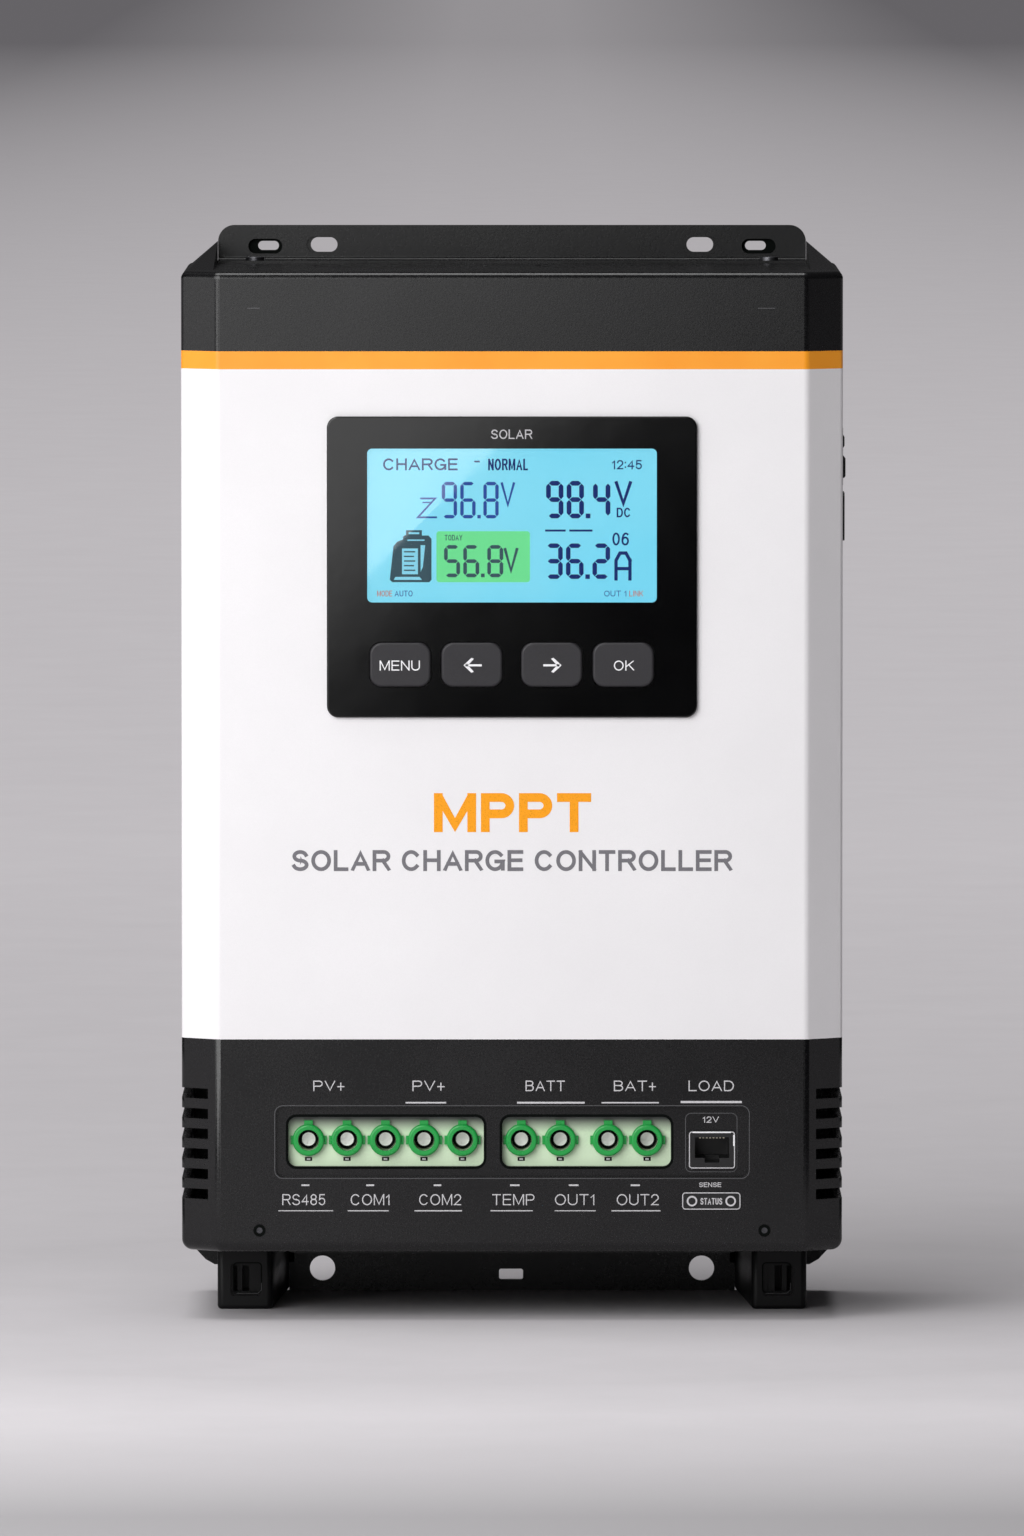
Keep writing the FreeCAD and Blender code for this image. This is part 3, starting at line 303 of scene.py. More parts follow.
LOOKS = {
    "white": powder_white(),
    "orange": orange_trim(),
    "cover": moulded("black_textured_cover", (0.0030, 0.0029, 0.0034), 0.25, 0.55, 0.012, specular=0.45),
    "foot": moulded("black_foot", (0.0022, 0.0022, 0.0025), 0.38, 0.5, 0.014, specular=0.22),
    "rubber": moulded("black_rubber", (0.008, 0.008, 0.008), 0.72, 0.9, 0.03),
    "bracket": moulded("black_powder_coat", (0.0026, 0.0026, 0.0030), 0.30, 0.8, 0.018, specular=0.33),
    "gloss": gloss("black_gloss_panel", (0.0008, 0.0008, 0.0010), 0.105, 0.02, 0.5),
    "lens": clear_lens(),
    "lcd": glowing("lcd_backlight", (0.300, 0.800, 0.965), second=(0.195, 0.735, 0.960)),
    "lcd_navy": glowing("display_navy", (0.011, 0.030, 0.190), 0.6),
    "lcd_blue": glowing("display_blue", (0.030, 0.085, 0.380), 0.7),
    "lcd_green": glowing("display_green", (0.195, 0.870, 0.345), 0.72),
    "lcd_slate": glowing("display_slate", (0.070, 0.135, 0.170), 0.5),
    "lcd_pale": glowing("display_pale", (0.310, 0.780, 0.960), 0.72),
    "lcd_red": glowing("display_red", (0.700, 0.250, 0.200), 0.6),
    "board": circuit_board(),
    "black": moulded("black_fitting", (0.0045, 0.0045, 0.0050), 0.36, 0.4, 0.012),
    "button": moulded("button_grey", (0.027, 0.026, 0.029), 0.40, 0.35, 0.010, specular=0.3),
    "ribbon": moulded("ribbon_grey", (0.36, 0.36, 0.38), 0.5, 1.2, 0.05),
    "terminal": terminal_body(),
    "collar": gloss("collar_green", (0.012, 0.330, 0.058), 0.26),
    "contact": metal("tinned_brass", (0.70, 0.66, 0.52), 0.3, (1, 8, 1)),
    "screw": metal("nickel_screw", (0.93, 0.94, 0.90), 0.40, (6, 1, 1)),
    "dark_screw": metal("black_oxide_screw", (0.12, 0.12, 0.13), 0.35, (6, 1, 1)),
    "aluminium": metal("extruded_aluminium", (0.68, 0.69, 0.71), 0.33, (1, 1, 0.05), 0.8),
    "ferrite": moulded("ferrite", (0.045, 0.045, 0.05), 0.6, 0.8, 0.04),
    "copper": metal("enamelled_copper", (0.72, 0.30, 0.12), 0.25, (1, 1, 1), 3.0),
    "sleeve": gloss("capacitor_sleeve", (0.012, 0.014, 0.035), 0.24),
    "white_ink": ink("white_ink", (0.52, 0.51, 0.53)),
    "label_ink": ink("label_ink", (0.62, 0.61, 0.63)),
    "faint_ink": ink("faint_ink", (0.09, 0.09, 0.095)),
    "bright_ink": ink("bright_ink", (0.90, 0.90, 0.92)),
    "grey_ink": ink("grey_ink", (0.185, 0.180, 0.198)),
    # Near-black ink for painted shade in gaps, slots and pocket floors.
    "painted_shade_ink": ink("painted_shade_ink", (0.003, 0.004, 0.0035), 0.8, 0.05),
    "orange_ink": ink("orange_ink", (1.0, 0.375, 0.004)),
}

NODE_LOOKS = {
    "white": ["front_shell"],
    "orange": ["accent_band"],
    "cover": ["top_cover", "bottom_cover"],
    "foot": ["foot_left", "foot_right"],
    "rubber": ["cable_slot_trim"],
    "bracket": ["top_bracket", "lower_bracket", "back_plate"],
    "gloss": ["display_bezel"],
    "lens": ["display_window"],
    "lcd": ["lcd_module"],
    "board": ["display_board", "main_board"],
    "black": [
        "button_switches", "load_socket", "comm_jack", "status_lights", "switch_frame", "power_rocker",
        "power_transistors", "fan_frames", "impeller_left", "impeller_right",
    ],
    "button": ["button_menu", "button_left", "button_right", "button_ok"],
    "ribbon": ["ribbon_cable"],
    "terminal": ["pv_terminal_block", "battery_terminal_block"],
    "collar": ["terminal_collars"],
    "contact": ["contact_bars", "socket_contacts", "board_standoffs"],
    "aluminium": ["heat_sink"],
    "ferrite": ["inductor_cores", "fuse_link"],
    "copper": ["inductor_windings"],
    "sleeve": ["capacitors"],
    "dark_screw": ["case_screws"],
}


def paint(node, look):
    """Gives a CAD node one material."""
    mesh = NODES[node].data
    mesh.materials.clear()
    mesh.materials.append(LOOKS[look].material)


for look, names in NODE_LOOKS.items():
    for name in names:
        paint(name, look)
for name in NODES:
    if "_screw_" in name:
        paint(name, "screw")
    if "_clamp_" in name:
        paint(name, "contact")


def soften(node, width):
    """Rounds a CAD node's sharp edges a little with modifiers, so that they catch light."""
    obj = NODES[node]
    weld = obj.modifiers.new("weld", "WELD")
    weld.merge_threshold = mm(0.002)
    bevel = obj.modifiers.new("edge", "BEVEL")
    bevel.width = mm(width)
    bevel.segments = 2
    bevel.limit_method = "ANGLE"
    bevel.angle_limit = math.radians(34)
    bevel.harden_normals = True
    bevel.use_clamp_overlap = True


for node in ("button_menu", "button_left", "button_right", "button_ok"):
    soften(node, 0.35)
for node in ("foot_left", "foot_right"):
    soften(node, 0.3)
soften("bottom_cover", 0.35)


# ---- mesh helpers -------------------------------------------------------------------------
def piece(name, mesh, look, body="case"):
    """A new piece on a body."""
    obj = bpy.data.objects.new(name, mesh)
    bpy.context.scene.collection.objects.link(obj)
    mesh.materials.clear()
    mesh.materials.append(LOOKS[look].material)
    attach(obj, body)
    return obj


# Segments of each figure, clockwise from the top one, which is a; g is the middle one.
SEGMENTS = {
    "2": "abged", "3": "abgcd", "4": "fgbc", "5": "afgcd", "6": "afgecd", "8": "abcdefg", "9": "abcdfg",
}


def bend(x, z, rx, rz, start, end):
    """Points along part of an ellipse, between two angles in degrees."""
    steps = max(3, round(abs(end - start) / 12))
    turn = [math.radians(start + (end - start) * k / steps) for k in range(steps + 1)]
    return [(x + rx * math.cos(t), z + rz * math.sin(t)) for t in turn]


# Letters as (width, strokes): centre lines in a unit box, the width against the height.
LETTERS = {
    "A": (0.95, [[(0, 0), (0.5, 1), (1, 0)], [(0.2, 0.31), (0.8, 0.31)]]),
    "B": (0.84, [[(0, 0), (0, 1)], [(0, 1), *bend(0.6, 0.77, 0.34, 0.23, 90, -90), (0, 0.54)],
                 [(0.3, 0.54), *bend(0.62, 0.27, 0.38, 0.27, 90, -90), (0, 0)]]),
    "C": (0.95, [bend(0.5, 0.5, 0.5, 0.5, 42, 318)]),
    "D": (0.90, [[(0, 0), (0, 1), *bend(0.48, 0.5, 0.52, 0.5, 90, -90), (0, 0)]]),
    "E": (0.80, [[(1, 1), (0, 1), (0, 0), (1, 0)], [(0, 0.52), (0.93, 0.52)]]),
    "G": (0.98, [[*bend(0.5, 0.5, 0.5, 0.5, 42, 325), (1, 0.45), (0.58, 0.45)], [(1, 0.45), (1, 0.03)]]),
    "H": (0.88, [[(0, 0), (0, 1)], [(1, 0), (1, 1)], [(0, 0.52), (1, 0.52)]]),
    "I": (0.16, [[(0.5, 0), (0.5, 1)]]),
    "K": (0.90, [[(0, 0), (0, 1)], [(0.96, 1), (0, 0.36)], [(0.36, 0.6), (1, 0)]]),
    "L": (0.74, [[(0, 1), (0, 0), (1, 0)]]),
    "M": (1.04, [[(0, 0), (0, 1)], [(0.04, 1), (0.5, 0), (0.96, 1)], [(1, 0), (1, 1)]]),
    "N": (0.88, [[(0, 0), (0, 1)], [(0.02, 1), (0.98, 0)], [(1, 0), (1, 1)]]),
    "O": (1.00, [bend(0.5, 0.5, 0.5, 0.5, 0, 360)]),
    "P": (0.82, [[(0, 0), (0, 1)], [(0, 1), *bend(0.66, 0.73, 0.34, 0.27, 90, -90), (0, 0.46)]]),
    "R": (0.90, [[(0, 0), (0, 1)], [(0, 1), *bend(0.66, 0.75, 0.34, 0.25, 90, -90), (0, 0.5)],
                 [(0.6, 0.5), (1, 0)]]),
    "S": (0.84, [[*bend(0.5, 0.75, 0.46, 0.25, 18, 270), *bend(0.5, 0.25, 0.5, 0.25, 90, -162)]]),
    "T": (0.84, [[(0, 1), (1, 1)], [(0.5, 0), (0.5, 1)]]),
    "U": (0.88, [[(0, 1), *bend(0.5, 0.34, 0.5, 0.34, 180, 360), (1, 1)]]),
    "V": (0.92, [[(0, 1), (0.5, 0), (1, 1)]]),
    "Y": (0.90, [[(0, 1), (0.5, 0.45), (1, 1)], [(0.5, 0), (0.5, 0.45)]]),
    "0": (0.72, [bend(0.5, 0.5, 0.5, 0.5, 0, 360)]),
    "1": (0.40, [[(0, 0.74), (0.8, 1), (0.8, 0)]]),
    "2": (0.72, [[*bend(0.5, 0.7, 0.5, 0.3, 170, -30), (0, 0), (1, 0)]]),
    "4": (0.76, [[(0.74, 0), (0.74, 1), (0, 0.3)], [(0, 0.3), (1, 0.3)]]),
    "5": (0.72, [[(0.92, 1), (0.14, 1), (0.06, 0.5), *bend(0.5, 0.32, 0.5, 0.32, 125, -155)]]),
    "6": (0.72, [bend(0.5, 0.32, 0.5, 0.32, 0, 360), bend(0.62, 0.4, 0.62, 0.6, 62, 186)]),
    "8": (0.72, [bend(0.5, 0.76, 0.44, 0.24, 0, 360), bend(0.5, 0.27, 0.5, 0.27, 0, 360)]),
    "+": (0.62, [[(0, 0.42), (1, 0.42)], [(0.5, 0.05), (0.5, 0.79)]]),
    ":": (0.16, [[(0.5, 0.18), (0.5, 0.2)], [(0.5, 0.76), (0.5, 0.78)]]),
}


class Print:
    """Printing that faces -Y on the plane y, gathered into one thin mesh."""

    def __init__(self, y):
        self.bm = bmesh.new()
        self.y = y
        self.bands = 0

    def slab(self, outline, holes=()):
        """A plate from a closed outline of (x, z) points in millimetres."""
        edges = []
        for loop in [outline, *holes]:
            verts = [self.bm.verts.new(mm(x, self.y, z)) for x, z in loop]
            edges += [self.bm.edges.new((a, b)) for a, b in zip(verts, verts[1:] + verts[:1])]
        bmesh.ops.triangle_fill(self.bm, edges=edges, use_beauty=True, use_dissolve=False)

    def bar(self, x0, x1, z0, z1):
        self.slab([(x0, z0), (x1, z0), (x1, z1), (x0, z1)])

    def rounded(self, x0, x1, z0, z1, r, line=None):
        """A filled rounded rectangle, or only its outline of that line width."""
        holes = []
        if line:
            inner_r = max(r - line, 0.05)
            holes = [rounded_outline(x0 + line, x1 - line, z0 + line, z1 - line, inner_r)]
        self.slab(rounded_outline(x0, x1, z0, z1, r), holes)

    def ring(self, x, z, r, hole):
        """A flat ring round a hole, both given by their radius."""
        steps = 28
        turn = [2 * math.pi * k / steps for k in range(steps)]
        outline, inside = ([(x + q * math.cos(t), z + q * math.sin(t)) for t in turn] for q in (r, hole))
        self.slab(outline, [inside])

    def digits(self, number, x0, z0, width, height, line):
        """Seven-segment figures from x0 rightwards, standing on z0."""
        gap, split = 1.0, 0.09  # between figures, and between a figure's segments
        x = x0
        for character in number:
            if character == ".":
                self.bar(x - gap * 0.45, x - gap * 0.45 + line, z0, z0 + line)
                x += line + gap * 0.35
                continue
            left, right, half = x + line / 2, x + width - line / 2, line / 2
            low, middle, high = z0 + half, z0 + height / 2, z0 + height - half
            lines = {
                "a": ((left, high), (right, high)),
                "b": ((right, high), (right, middle)),
                "c": ((right, middle), (right, low)),
                "d": ((left, low), (right, low)),
                "e": ((left, middle), (left, low)),
                "f": ((left, high), (left, middle)),
                "g": ((left, middle), (right, middle)),
            }
            for key in SEGMENTS[character]:
                a, b = Vector(lines[key][0]), Vector(lines[key][1])
                along = (b - a).normalized()
                side = Vector((-along.y, along.x)) * half
                nick = along * (half + split)
                a, b = a + along * split, b - along * split
                points = (a, a + nick + side, b - nick + side, b, b - nick - side, a + nick - side)
                self.slab([tuple(point) for point in points])
            x += width + gap

    def ribbon(self, points, line, low=-1e3, high=1e3):
        """A band of even width along a polyline, kept within two heights.

        It is closed if it ends where it starts. Bands that cross would share a plane, so each of three
        in turn lies a little further out.
        """
        self.bands += 1
        y = self.y - STROKE_STEP * (self.bands % 3)
        points = [Vector(point) for point in points]
        closed = (points[0] - points[-1]).length < 1e-4
        if closed:
            points.pop()
        count = len(points)
        rows = []
        for k, point in enumerate(points):
            before = points[k - 1] if closed or k else None
            after = points[(k + 1) % count] if closed or k < count - 1 else None
            into = (point - before).normalized() if before else (after - point).normalized()
            out = (after - point).normalized() if after else into
            across = Vector((-into.y - out.y, into.x + out.x)).normalized()
            reach = line / 2 / max(0.42, across.dot(Vector((-into.y, into.x))))
            if not before:
                point = point - into * line / 2
            if not after:
                point = point + into * line / 2
            corners = (point + across * reach, point - across * reach)
            rows.append([self.bm.verts.new(mm(c.x, y, min(max(c.y, low), high))) for c in corners])
        for k in range(count if closed else count - 1):
            (a, b), (d, c) = rows[k], rows[(k + 1) % count]
            self.bm.faces.new((a, b, c, d))

    def text(self, words, x0, x1, z0, height, weight=0.15):
        """Words between x0 and x1, standing on z0; weight is the stroke's width over the height."""
        gap = 0.23 - 0.5 * weight
        space = 0.3
        widths = [LETTERS[c][0] if c in LETTERS else space for c in words]
        line = weight * height
        scale = (x1 - x0) / (sum(widths) + gap * (len(words) - 1))
        x = x0
        for character, width in zip(words, widths):
            wide, tall = max(width * scale - line, 0.001), height - line
            for stroke in LETTERS.get(character, (0, []))[1]:
                points = [(x + line / 2 + u * wide, z0 + line / 2 + v * tall) for u, v in stroke]
                self.ribbon(points, line, z0, z0 + height)
            x += (width + gap) * scale

    def done(self, name, look, body="case"):
        """Gives the plates their thickness and puts them on a body."""
        raised = bmesh.ops.extrude_face_region(self.bm, geom=list(self.bm.faces))["geom"]
        bmesh.ops.translate(
            self.bm, verts=[v for v in raised if isinstance(v, bmesh.types.BMVert)], vec=mm(0, -PRINT, 0)
        )
        bmesh.ops.recalc_face_normals(self.bm, faces=list(self.bm.faces))
        mesh = bpy.data.meshes.new(name)
        self.bm.to_mesh(mesh)
        self.bm.free()
        return piece(name, mesh, look, body)


def rounded_outline(x0, x1, z0, z1, r):
    """Points of a rounded rectangle."""
    steps = 6  # per corner
    corners = [(x1 - r, z1 - r, 0), (x0 + r, z1 - r, 90), (x0 + r, z0 + r, 180), (x1 - r, z0 + r, 270)]
    points = []
    for cx, cz, start in corners:
        for k in range(steps + 1):
            angle = math.radians(start + 90 * k / steps)
            points.append((cx + r * math.cos(angle), cz + r * math.sin(angle)))
    return points


# ---- printing -----------------------------------------------------------------------------
def front_printing():
    """Lettering on the white front and the word at the top of the display panel."""
    title = Print(FRONT_Y)
    title.text("MPPT", -23.6, 23.9, 148.2, 11.8, 0.225)
    title.done("title_method", "orange_ink")
    title = Print(FRONT_Y)
    title.text("SOLAR CHARGE CONTROLLER", -66.5, 66.5, 136.4, 6.35, 0.178)
    title.done("title_kind", "grey_ink")
    word = Print(PANEL_Y)
    word.text("SOLAR", -6.3, 6.1, 267.1, 2.85, 0.13)
    word.done("panel_word", "white_ink")


def button_captions():
    """A word or an arrow on each button, riding on it."""
    word_z, word_height, arrow_z = 197.2, 3.05, 198.8
    half_length, head_half, tail_half = 2.75, 2.25, 0.32
    for name, words, x0, x1 in (("menu", "MENU", -39.95, -27.8), ("ok", "OK", 30.75, 36.85)):
        caption = Print(BUTTON_Y)
        caption.text(words, x0, x1, word_z, word_height, 0.115)
        caption.done(f"caption_{name}", "bright_ink", f"button_{name}")
    for name, middle, way in (("left", -11.9, -1), ("right", 12.2, 1)):
        caption = Print(BUTTON_Y)
        tip, barb = middle + way * half_length, middle + way * 0.35
        tail = sorted((middle - way * half_length, tip - way * 0.6))
        caption.bar(*tail, arrow_z - tail_half, arrow_z + tail_half)
        for up in (1, -1):
            corner = (barb, arrow_z + up * head_half)
            inner = (barb - way * 0.75, arrow_z + up * (head_half - 0.3))
            caption.slab([(tip, arrow_z), corner, inner, (tip - way * 1.35, arrow_z)])
        caption.done(f"caption_{name}", "bright_ink", f"button_{name}")


def letter_v(target, x0, x1, z0, z1, width):
    """A V of two strokes, as the display draws it."""
    middle = (x0 + x1) / 2
    target.ribbon([(x0 + width / 2, z1), (middle, z0 + width / 2), (x1 - width / 2, z1)], width)


def letter_a(target, x0, x1, z0, z1, width):
    """An A of square strokes, as the display draws it."""
    left, right, top = x0 + width / 2, x1 - width / 2, z1 - width / 2
    shoulder = top - 2.2
    arch = [(left, z0), (left, shoulder), (left + 1.2, top), (right - 1.2, top), (right, shoulder)]
    target.ribbon(arch, width)
    target.ribbon([(right, shoulder), (right, z0)], width)
    target.ribbon([(left, z0 + 3.1), (right, z0 + 3.1)], width)


def display_content():
    """Readings, words and the battery icon on the display."""
    dark = Print(LCD_Y)
    dark.text("CHARGE", -38.9, -16.4, 257.6, 3.6, 0.15)
    dark.text("NORMAL", -7.2, 4.8, 257.6, 3.5, 0.15)
    dark.bar(-11.4, -9.7, 260.0, 260.5)
    dark.text("12:45", 30.2, 39.2, 257.9, 2.8, 0.14)
    dark.digits("98.4", 10.3, 243.1, 5.2, 11.3, 1.42)
    letter_v(dark, 31.0, 36.2, 247.1, 253.8, 1.0)
    dark.text("DC", 31.6, 35.8, 243.4, 2.9, 0.16)
    dark.bar(10.0, 16.2, 239.1, 239.7)
    dark.bar(17.3, 24.3, 239.1, 239.7)
    dark.text("06", 30.3, 35.3, 234.9, 3.9, 0.14)
    dark.digits("36.2", 10.0, 224.8, 5.3, 10.7, 1.35)
    letter_a(dark, 30.9, 36.1, 224.8, 233.1, 1.0)
    dark.done("display_dark_figures", "lcd_navy")

    light = Print(LCD_Y)
    light.digits("96.8", -21.2, 243.1, 4.6, 11.0, 1.02)
    letter_v(light, -3.4, 0.9, 246.8, 253.6, 0.72)
    light.ribbon([(-27.4, 249.1), (-23.2, 249.1), (-28.4, 243.4), (-22.9, 243.4)], 0.55)
    light.ribbon([(-26.8, 247.9), (-24.4, 247.9)], 0.4)
    light.done("display_light_figures", "lcd_blue")

    patch = Print(LCD_Y)
    patch.rounded(-22.8, 5.4, 223.8, 239.2, 0.9)
    patch.done("display_battery_patch", "lcd_green")
    on_patch = Print(LCD_Y - PRINT)
    on_patch.text("TODAY", -20.3, -15.0, 236.4, 1.7, 0.13)
    on_patch.digits("56.8", -20.5, 225.3, 4.8, 9.7, 1.1)
    letter_v(on_patch, -2.5, 1.9, 226.9, 233.7, 0.85)
    on_patch.done("display_battery_figures", "lcd_slate")

    can = Print(LCD_Y)
    can.slab([
        (-36.9, 224.5), (-36.1, 223.8), (-25.0, 223.8), (-24.3, 224.5), (-24.3, 236.9),
        (-25.2, 237.9), (-27.2, 237.9), (-27.2, 239.5), (-32.0, 239.5), (-32.0, 238.1),
        (-32.9, 237.6), (-32.9, 236.7), (-34.7, 236.0), (-35.8, 234.6),
    ])
    can.done("display_battery_icon", "lcd_slate")
    page = Print(LCD_Y - PRINT)
    page.slab([(-33.2, 226.2), (-28.4, 226.2), (-28.4, 234.0), (-33.2, 234.0)])
    page.slab([(-27.6, 226.9), (-26.9, 228.4), (-26.2, 235.0), (-27.6, 235.0)])
    page.slab([(-35.7, 224.5), (-27.2, 224.5), (-27.9, 225.4), (-35.2, 225.4)])
    page.slab([(-31.2, 238.3), (-28.0, 238.3), (-28.0, 238.9), (-31.2, 238.9)])
    page.slab([(-31.6, 236.3), (-26.4, 236.3), (-26.4, 236.7), (-31.6, 236.7)])
    page.done("display_battery_page", "lcd_pale")
    lines = Print(LCD_Y - 2 * PRINT)
    for k in range(5):
        lines.bar(-32.6, -29.2 - 0.4 * (k % 2), 227.2 + 1.4 * k, 227.6 + 1.4 * k)
    lines.done("display_battery_lines", "lcd_slate")

    small = Print(LCD_Y)
    small.text("MODE", -40.7, -36.2, 219.5, 1.75, 0.13)
    small.text("LINK", 35.4, 39.6, 219.5, 1.75, 0.13)
    small.done("display_small_red", "lcd_red")
    small = Print(LCD_Y)
    small.text("AUTO", -35.4, -30.0, 219.5, 1.75, 0.13)
    small.text("OUT 1", 27.8, 34.6, 219.5, 1.75, 0.13)
    small.done("display_small_blue", "lcd_blue")


def terminal_labels():
    """Names, rules and marks round the terminals."""
    names = Print(FRONT_Y)
    for words, x0, x1 in (
        ("PV+", -60.1, -50.7),
        ("PV+", -30.1, -20.4),
        ("BATT", 4.1, 16.0),
        ("BAT+", 30.8, 43.5),
        ("LOAD", 53.4, 67.1),
    ):
        names.text(words, x0, x1, 69.7, 3.2, 0.105)
    for words, x0, x1 in (
        ("RS485", -69.5, -56.5),
        ("COM1", -48.8, -36.9),
        ("COM2", -28.1, -15.4),
        ("TEMP", -6.0, 6.8),
        ("OUT1", 13.0, 25.1),
        ("OUT2", 31.7, 44.4),
    ):
        names.text(words, x0, x1, 35.1, 3.35, 0.095)
    names.done("terminal_names", "label_ink")
    rules = Print(FRONT_Y)
    for x0, x1, z, line in (
        (-32.2, -19.9, 66.2, 0.45),
        (1.5, 22.0, 66.2, 0.55),
        (27.1, 44.4, 66.2, 0.40),
        (51.0, 69.5, 66.4, 0.65),
        (-70.7, -54.1, 33.4, 0.25),
        (-49.7, -37.3, 33.4, 0.30),
        (-29.5, -15.1, 33.4, 0.35),
        (-6.5, 6.3, 33.4, 0.30),
        (12.9, 25.4, 33.4, 0.25),
        (30.1, 44.9, 33.4, 0.32),
    ):
        rules.bar(x0, x1, z - line / 2, z + line / 2)
    for x0, x1 in (
        (-63.7, -61.3), (-44.1, -41.7), (-23.7, -21.4), (-0.6, 2.3), (17.2, 20.1), (35.9, 38.7),
    ):
        rules.bar(x0, x1, 40.9, 41.4)
    rules.text("SENSE", 56.6, 63.3, 40.6, 1.4, 0.15)
    rules.done("terminal_rules", "label_ink")
    outline = Print(FRONT_Y)
    outline.rounded(-71.9, 71.9, 43.1, 65.4, 2.6, 0.22)
    outline.done("recess_outline", "faint_ink")
    outline = Print(RECESS_Y)
    outline.rounded(52.4, 68.2, 45.0, 63.0, 1.8, 0.22)
    outline.done("socket_outline", "faint_ink")
    tag = Print(RECESS_Y)
    tag.text("12V", 57.7, 62.6, 60.0, 1.9, 0.14)
    tag.done("socket_tag", "label_ink")
    lights_outline = Print(LIGHTS_Y)
    lights_outline.rounded(51.5, 69.1, 33.8, 39.0, 1.0, 0.28)
    lights_outline.text("STATUS", 57.0, 63.6, 35.3, 2.0, 0.15)
    lights_outline.done("status_outline", "label_ink")
    for number, x in enumerate((54.45, 66.15), 1):
        eye = Print(LIGHT_PIPE_Y)
        eye.ring(x, 36.4, 1.6, 1.1)
        eye.done(f"status_ring_{number}", "label_ink")


def terminal_marks():
    """Painted shade in the gaps round the screw heads and in the wire-release slots under the collars,
    the socket's frame, and painted highlights on that frame.
    """
    slots = Print(BLOCK_Y)
    levers = Print(BLOCK_Y - PRINT)
    for block, poles in (("pv", PV_POLES), ("battery", BATTERY_POLES)):
        for number, x in enumerate(poles, 1):
            # Painted shade: a dark ring in the gap between each screw head and its collar.
            shade_ring = Print(SCREW_Y)
            shade_ring.ring(x, POLE_Z, 2.88, 2.05)
            shade_ring.done(f"{block}_groove_{number}", "painted_shade_ink", f"{block}_screw_{number}")
            # Painted shade: dark bars in the wire-release slot openings.
            slots.bar(x - 1.1, x + 1.1, 48.2, 49.35)
            levers.bar(x - 0.55, x + 0.55, 48.5, 49.05)
    slots.done("release_slots", "painted_shade_ink")
    levers.done("release_levers", "label_ink")
    frame = Print(SOCKET_Y)
    frame.rounded(53.55, 67.45, 46.2, 57.4, 0.9, 0.28)
    frame.done("socket_frame", "label_ink")
    # Painted highlights: bright strips along the top and right edge of the socket frame.
    glint = Print(SOCKET_Y - 0.05)
    glint.bar(54.6, 66.2, 56.95, 57.35)
    glint.bar(66.9, 67.4, 53.0, 56.4)
    glint.done("socket_glint", "bright_ink")


def foot_pockets():
    """Dark shadow line round the pocket in each foot, and a painted highlight along its lower and right
    edge.
    """
    for side, left in (("left", -85.1), ("right", 76.2)):
        line = Print(FOOT_FRONT_Y)
        line.rounded(left, left + 8.9, 5.0, 14.4, 1.3, 0.35)
        line.done(f"pocket_line_{side}", "painted_shade_ink")
        # Painted highlight: a lighter line along the pocket's lower edge and up its right side.
        edge_highlight = Print(FOOT_FRONT_Y)
        edge_highlight.ribbon([(left + 1.3, 4.9), (left + 7.6, 4.9), (left + 8.7, 5.9), (left + 8.7, 8.0)], 0.14)
        edge_highlight.done(f"pocket_highlight_{side}", "faint_ink")


def shadow_lines():
    """Painted shade: dark gaps round cover screws and terminal windows, dark floors of the bracket's
    outer pockets.
    """
    gaps = Print(FRONT_Y)
    for x in (-76.4, 76.4):
        gaps.ring(x, 27.4, 1.75, 0.95)
    gaps.done("cover_screw_gaps", "painted_shade_ink")
    windows = Print(RECESS_Y)
    for x0, x1 in TERMINAL_WINDOWS:
        windows.rounded(x0 - 0.75, x1 + 0.75, 45.95, 62.55, 3.2, 0.8)
    windows.done("terminal_window_gaps", "painted_shade_ink")
    floors = Print(BRACKET_POCKET_Y)
    for side in (-1, 1):
        pocket, slot = side * 75.9, side * 74.9
        hole = rounded_outline(slot - 3.2, slot + 3.2, 321.2, 324.0, 1.4)
        floors.slab(rounded_outline(pocket - 5.2, pocket + 5.2, 320.15, 324.65, 2.2), [hole])
    floors.done("bracket_pocket_floors", "painted_shade_ink")


def cover_marks():
    """Two short moulding marks on the top cover."""
    marks = Print(FRONT_Y)
    marks.bar(-79.8, -76.1, 306.4, 306.65)
    marks.bar(74.2, 79.4, 306.4, 306.6)
    marks.done("cover_marks", "faint_ink")


front_printing()
button_captions()
display_content()
terminal_labels()
terminal_marks()
foot_pockets()
shadow_lines()
cover_marks()


# ---- stage, light and camera --------------------------------------------------------------
def flat_stage(name, corners):
    """One flat stage piece."""
    mesh = bpy.data.meshes.new(name)
    mesh.from_pydata(corners, [], [tuple(range(len(corners)))])
    obj = bpy.data.objects.new(name, mesh)
    bpy.context.scene.collection.objects.link(obj)
    return obj


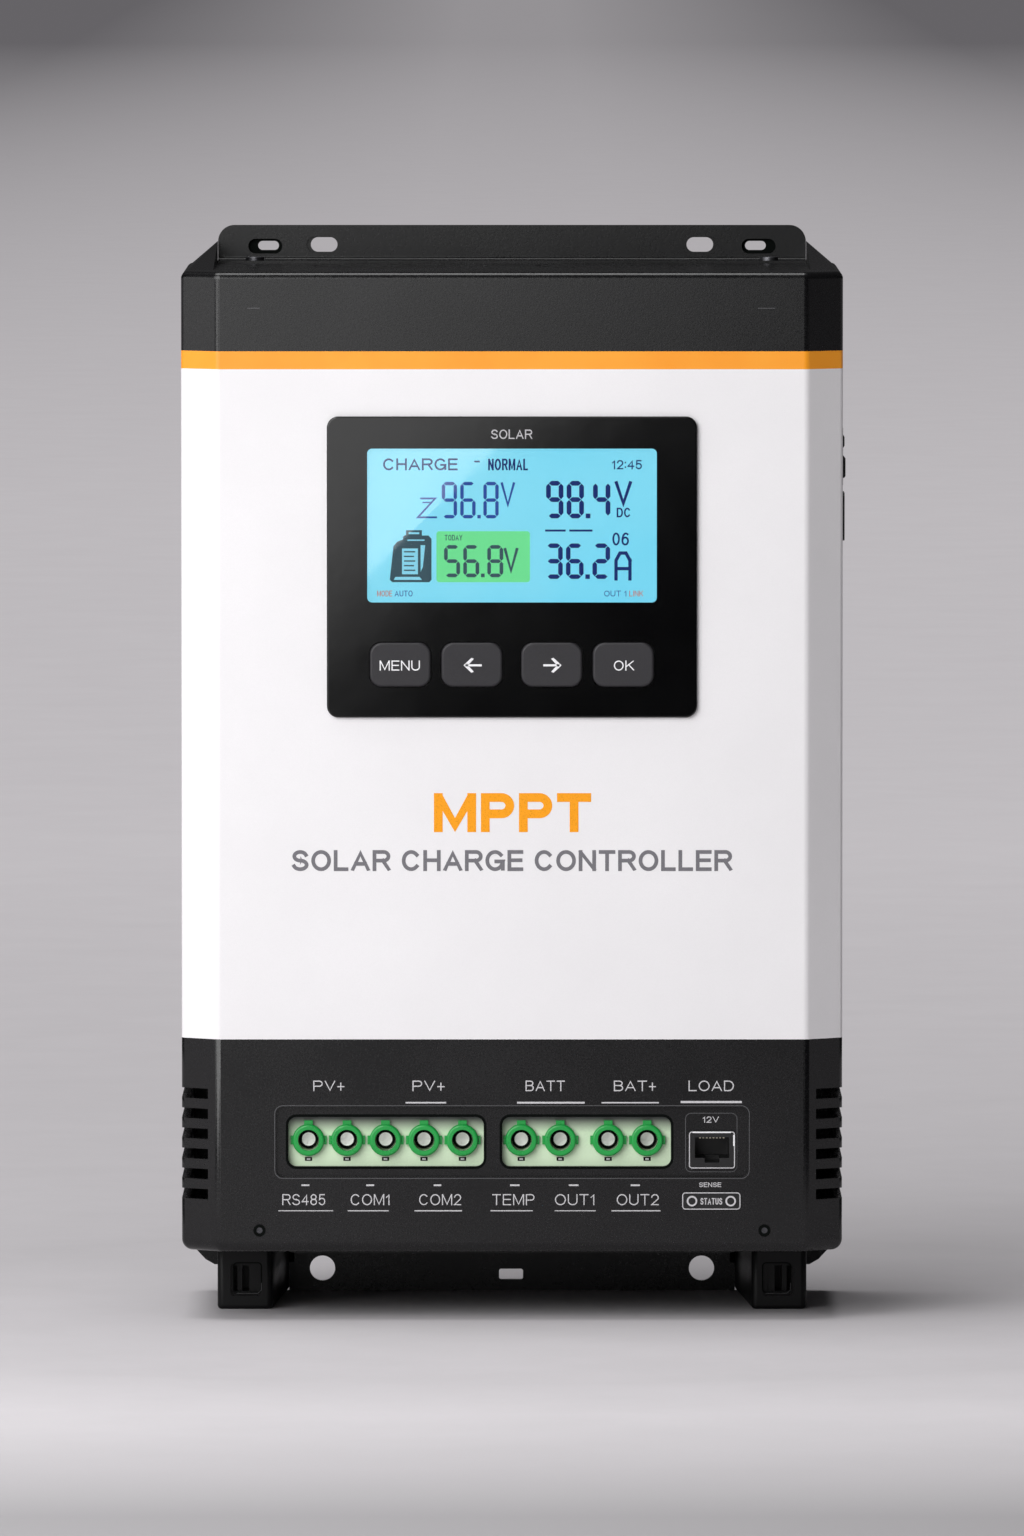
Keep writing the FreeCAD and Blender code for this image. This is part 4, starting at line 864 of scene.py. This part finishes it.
def floor_with_painted_shade():
    """Pale floor with painted shade: darker near the object, darker in front, darker far off and more so
    towards the sides.
    """
    near_end, middle_start, middle_end, far_start = 0.25, 2.2, 5.5, 25.0  # metres from the object
    fade_start, fade_end = 0.34, 0.62  # metres towards the camera
    g = Graph("studio_floor").set(Specular_IOR_Level=0.1, Roughness=0.9)
    length = g.tree.nodes.new("ShaderNodeVectorMath")
    length.operation = "LENGTH"
    g.join(g.coords, length.inputs[0])
    away = length.outputs["Value"]
    mottle = g.span(g.noise(60, 5, 0.7), 0.3, 0.7, 0, 1)
    near_shade = g.mix(mottle, (0.525, 0.505, 0.523), (0.555, 0.533, 0.553))
    middle = g.mix(mottle, (0.860, 0.825, 0.855), (0.890, 0.855, 0.885))
    # Painted shade round the object, fading out over about two metres.
    lit = g.mix(g.math("POWER", g.span(away, near_end, middle_start, 0, 1), 0.6), near_shade, middle)
    aside = g.span(g.math("ABSOLUTE", g.along((1, 0, 0), -10, 10, -10, 10), 0), 0.1, 0.8, 0.55, 1)
    far_shade = g.math("MULTIPLY", g.span(away, middle_end, far_start, 0, 1), aside)
    # Painted shade towards the camera, and far off with more towards the sides.
    lit = g.mix(g.along((0, -1, 0), fade_start, fade_end), lit, (0.32, 0.31, 0.32))
    g.colour(g.mix(far_shade, lit, (0.22, 0.21, 0.225)))
    return g.bump(g.noise(1.2, 3, 0.7), 0.15, 0.4).material


def stage():
    """A floor that runs out of sight, and a black card that keeps it out of the front's reflections."""
    reach = 45.0
    floor = flat_stage(
        "floor", [(-reach, -reach, 0), (reach, -reach, 0), (reach, reach, 0), (-reach, reach, 0)]
    )
    floor.data.materials.append(floor_with_painted_shade())
    left, right, y, top = -0.12, 2.2, -1.7, 1.5
    card = flat_stage("card", [(left, y, 0), (right, y, 0), (right, y, top), (left, y, top)])
    card.visible_camera = False
    g = Graph("black_card").set(Specular_IOR_Level=0.0, Roughness=1.0)
    g.colour(g.mix(g.noise(5, 3), (0.004, 0.004, 0.004), (0.008, 0.008, 0.008)))
    card.data.materials.append(g.material)


def soft_box(name, place, target, side, power, turn=0.0):
    """A square soft box that the camera doesn't see, turned about its own axis by some degrees."""
    data = bpy.data.lights.new(name, "AREA")
    data.shape = "RECTANGLE"
    data.size = data.size_y = side
    data.energy = power
    lamp = bpy.data.objects.new(name, data)
    lamp.location = place
    aim = (Vector(target) - Vector(place)).to_track_quat("-Z", "Y").to_matrix()
    lamp.rotation_euler = (aim @ Matrix.Rotation(math.radians(turn), 3, "Z")).to_euler()
    lamp.visible_camera = False
    bpy.context.scene.collection.objects.link(lamp)


def lights():
    """A large soft box high on the left, two that the dark parts mirror, and soft light from above."""
    world = bpy.data.worlds.new("studio")
    world.use_nodes = True
    background = world.node_tree.nodes["Background"]
    background.inputs["Color"].default_value = (0.95, 0.93, 0.96, 1)
    background.inputs["Strength"].default_value = 0.05
    bpy.context.scene.world = world
    soft_box("key", (-0.68, -0.95, 0.72), (-0.05, 0.0, 0.17), 1.0, 14.2, turn=38)
    soft_box("sheen", (-0.255, -1.25, 0.392), (-0.255, 0.0, 0.392), 0.6, 2.1, turn=45)
    soft_box("side", (-1.30, -0.42, 0.44), (-0.1, 0.0, 0.44), 0.5, 1.3)
    sun = bpy.data.lights.new("overhead", "SUN")
    sun.energy = 1.75
    sun.angle = math.radians(40)
    lamp = bpy.data.objects.new("overhead", sun)
    lamp.rotation_euler = (math.radians(1), math.radians(-10), 0)
    bpy.context.scene.collection.objects.link(lamp)


def camera():
    """Long lens from slightly above, straight on."""
    data = bpy.data.cameras.new("camera")
    distance, eye_height, aim_height = 5.0, 0.4636, 0.1676
    seen_height = 0.4640  # what the frame's height holds at the front of the case
    eye = Vector((0, mm(FRONT_Y) - distance, eye_height))
    aim = Vector((0, mm(FRONT_Y), aim_height))
    data.lens = data.sensor_width * (aim - eye).length / seen_height
    data.clip_end = 100
    obj = bpy.data.objects.new("camera", data)
    obj.location = eye
    obj.rotation_euler = (aim - eye).to_track_quat("-Z", "Y").to_euler()
    bpy.context.scene.collection.objects.link(obj)
    bpy.context.scene.camera = obj


stage()
lights()
camera()
bpy.context.scene.view_settings.view_transform = "Standard"
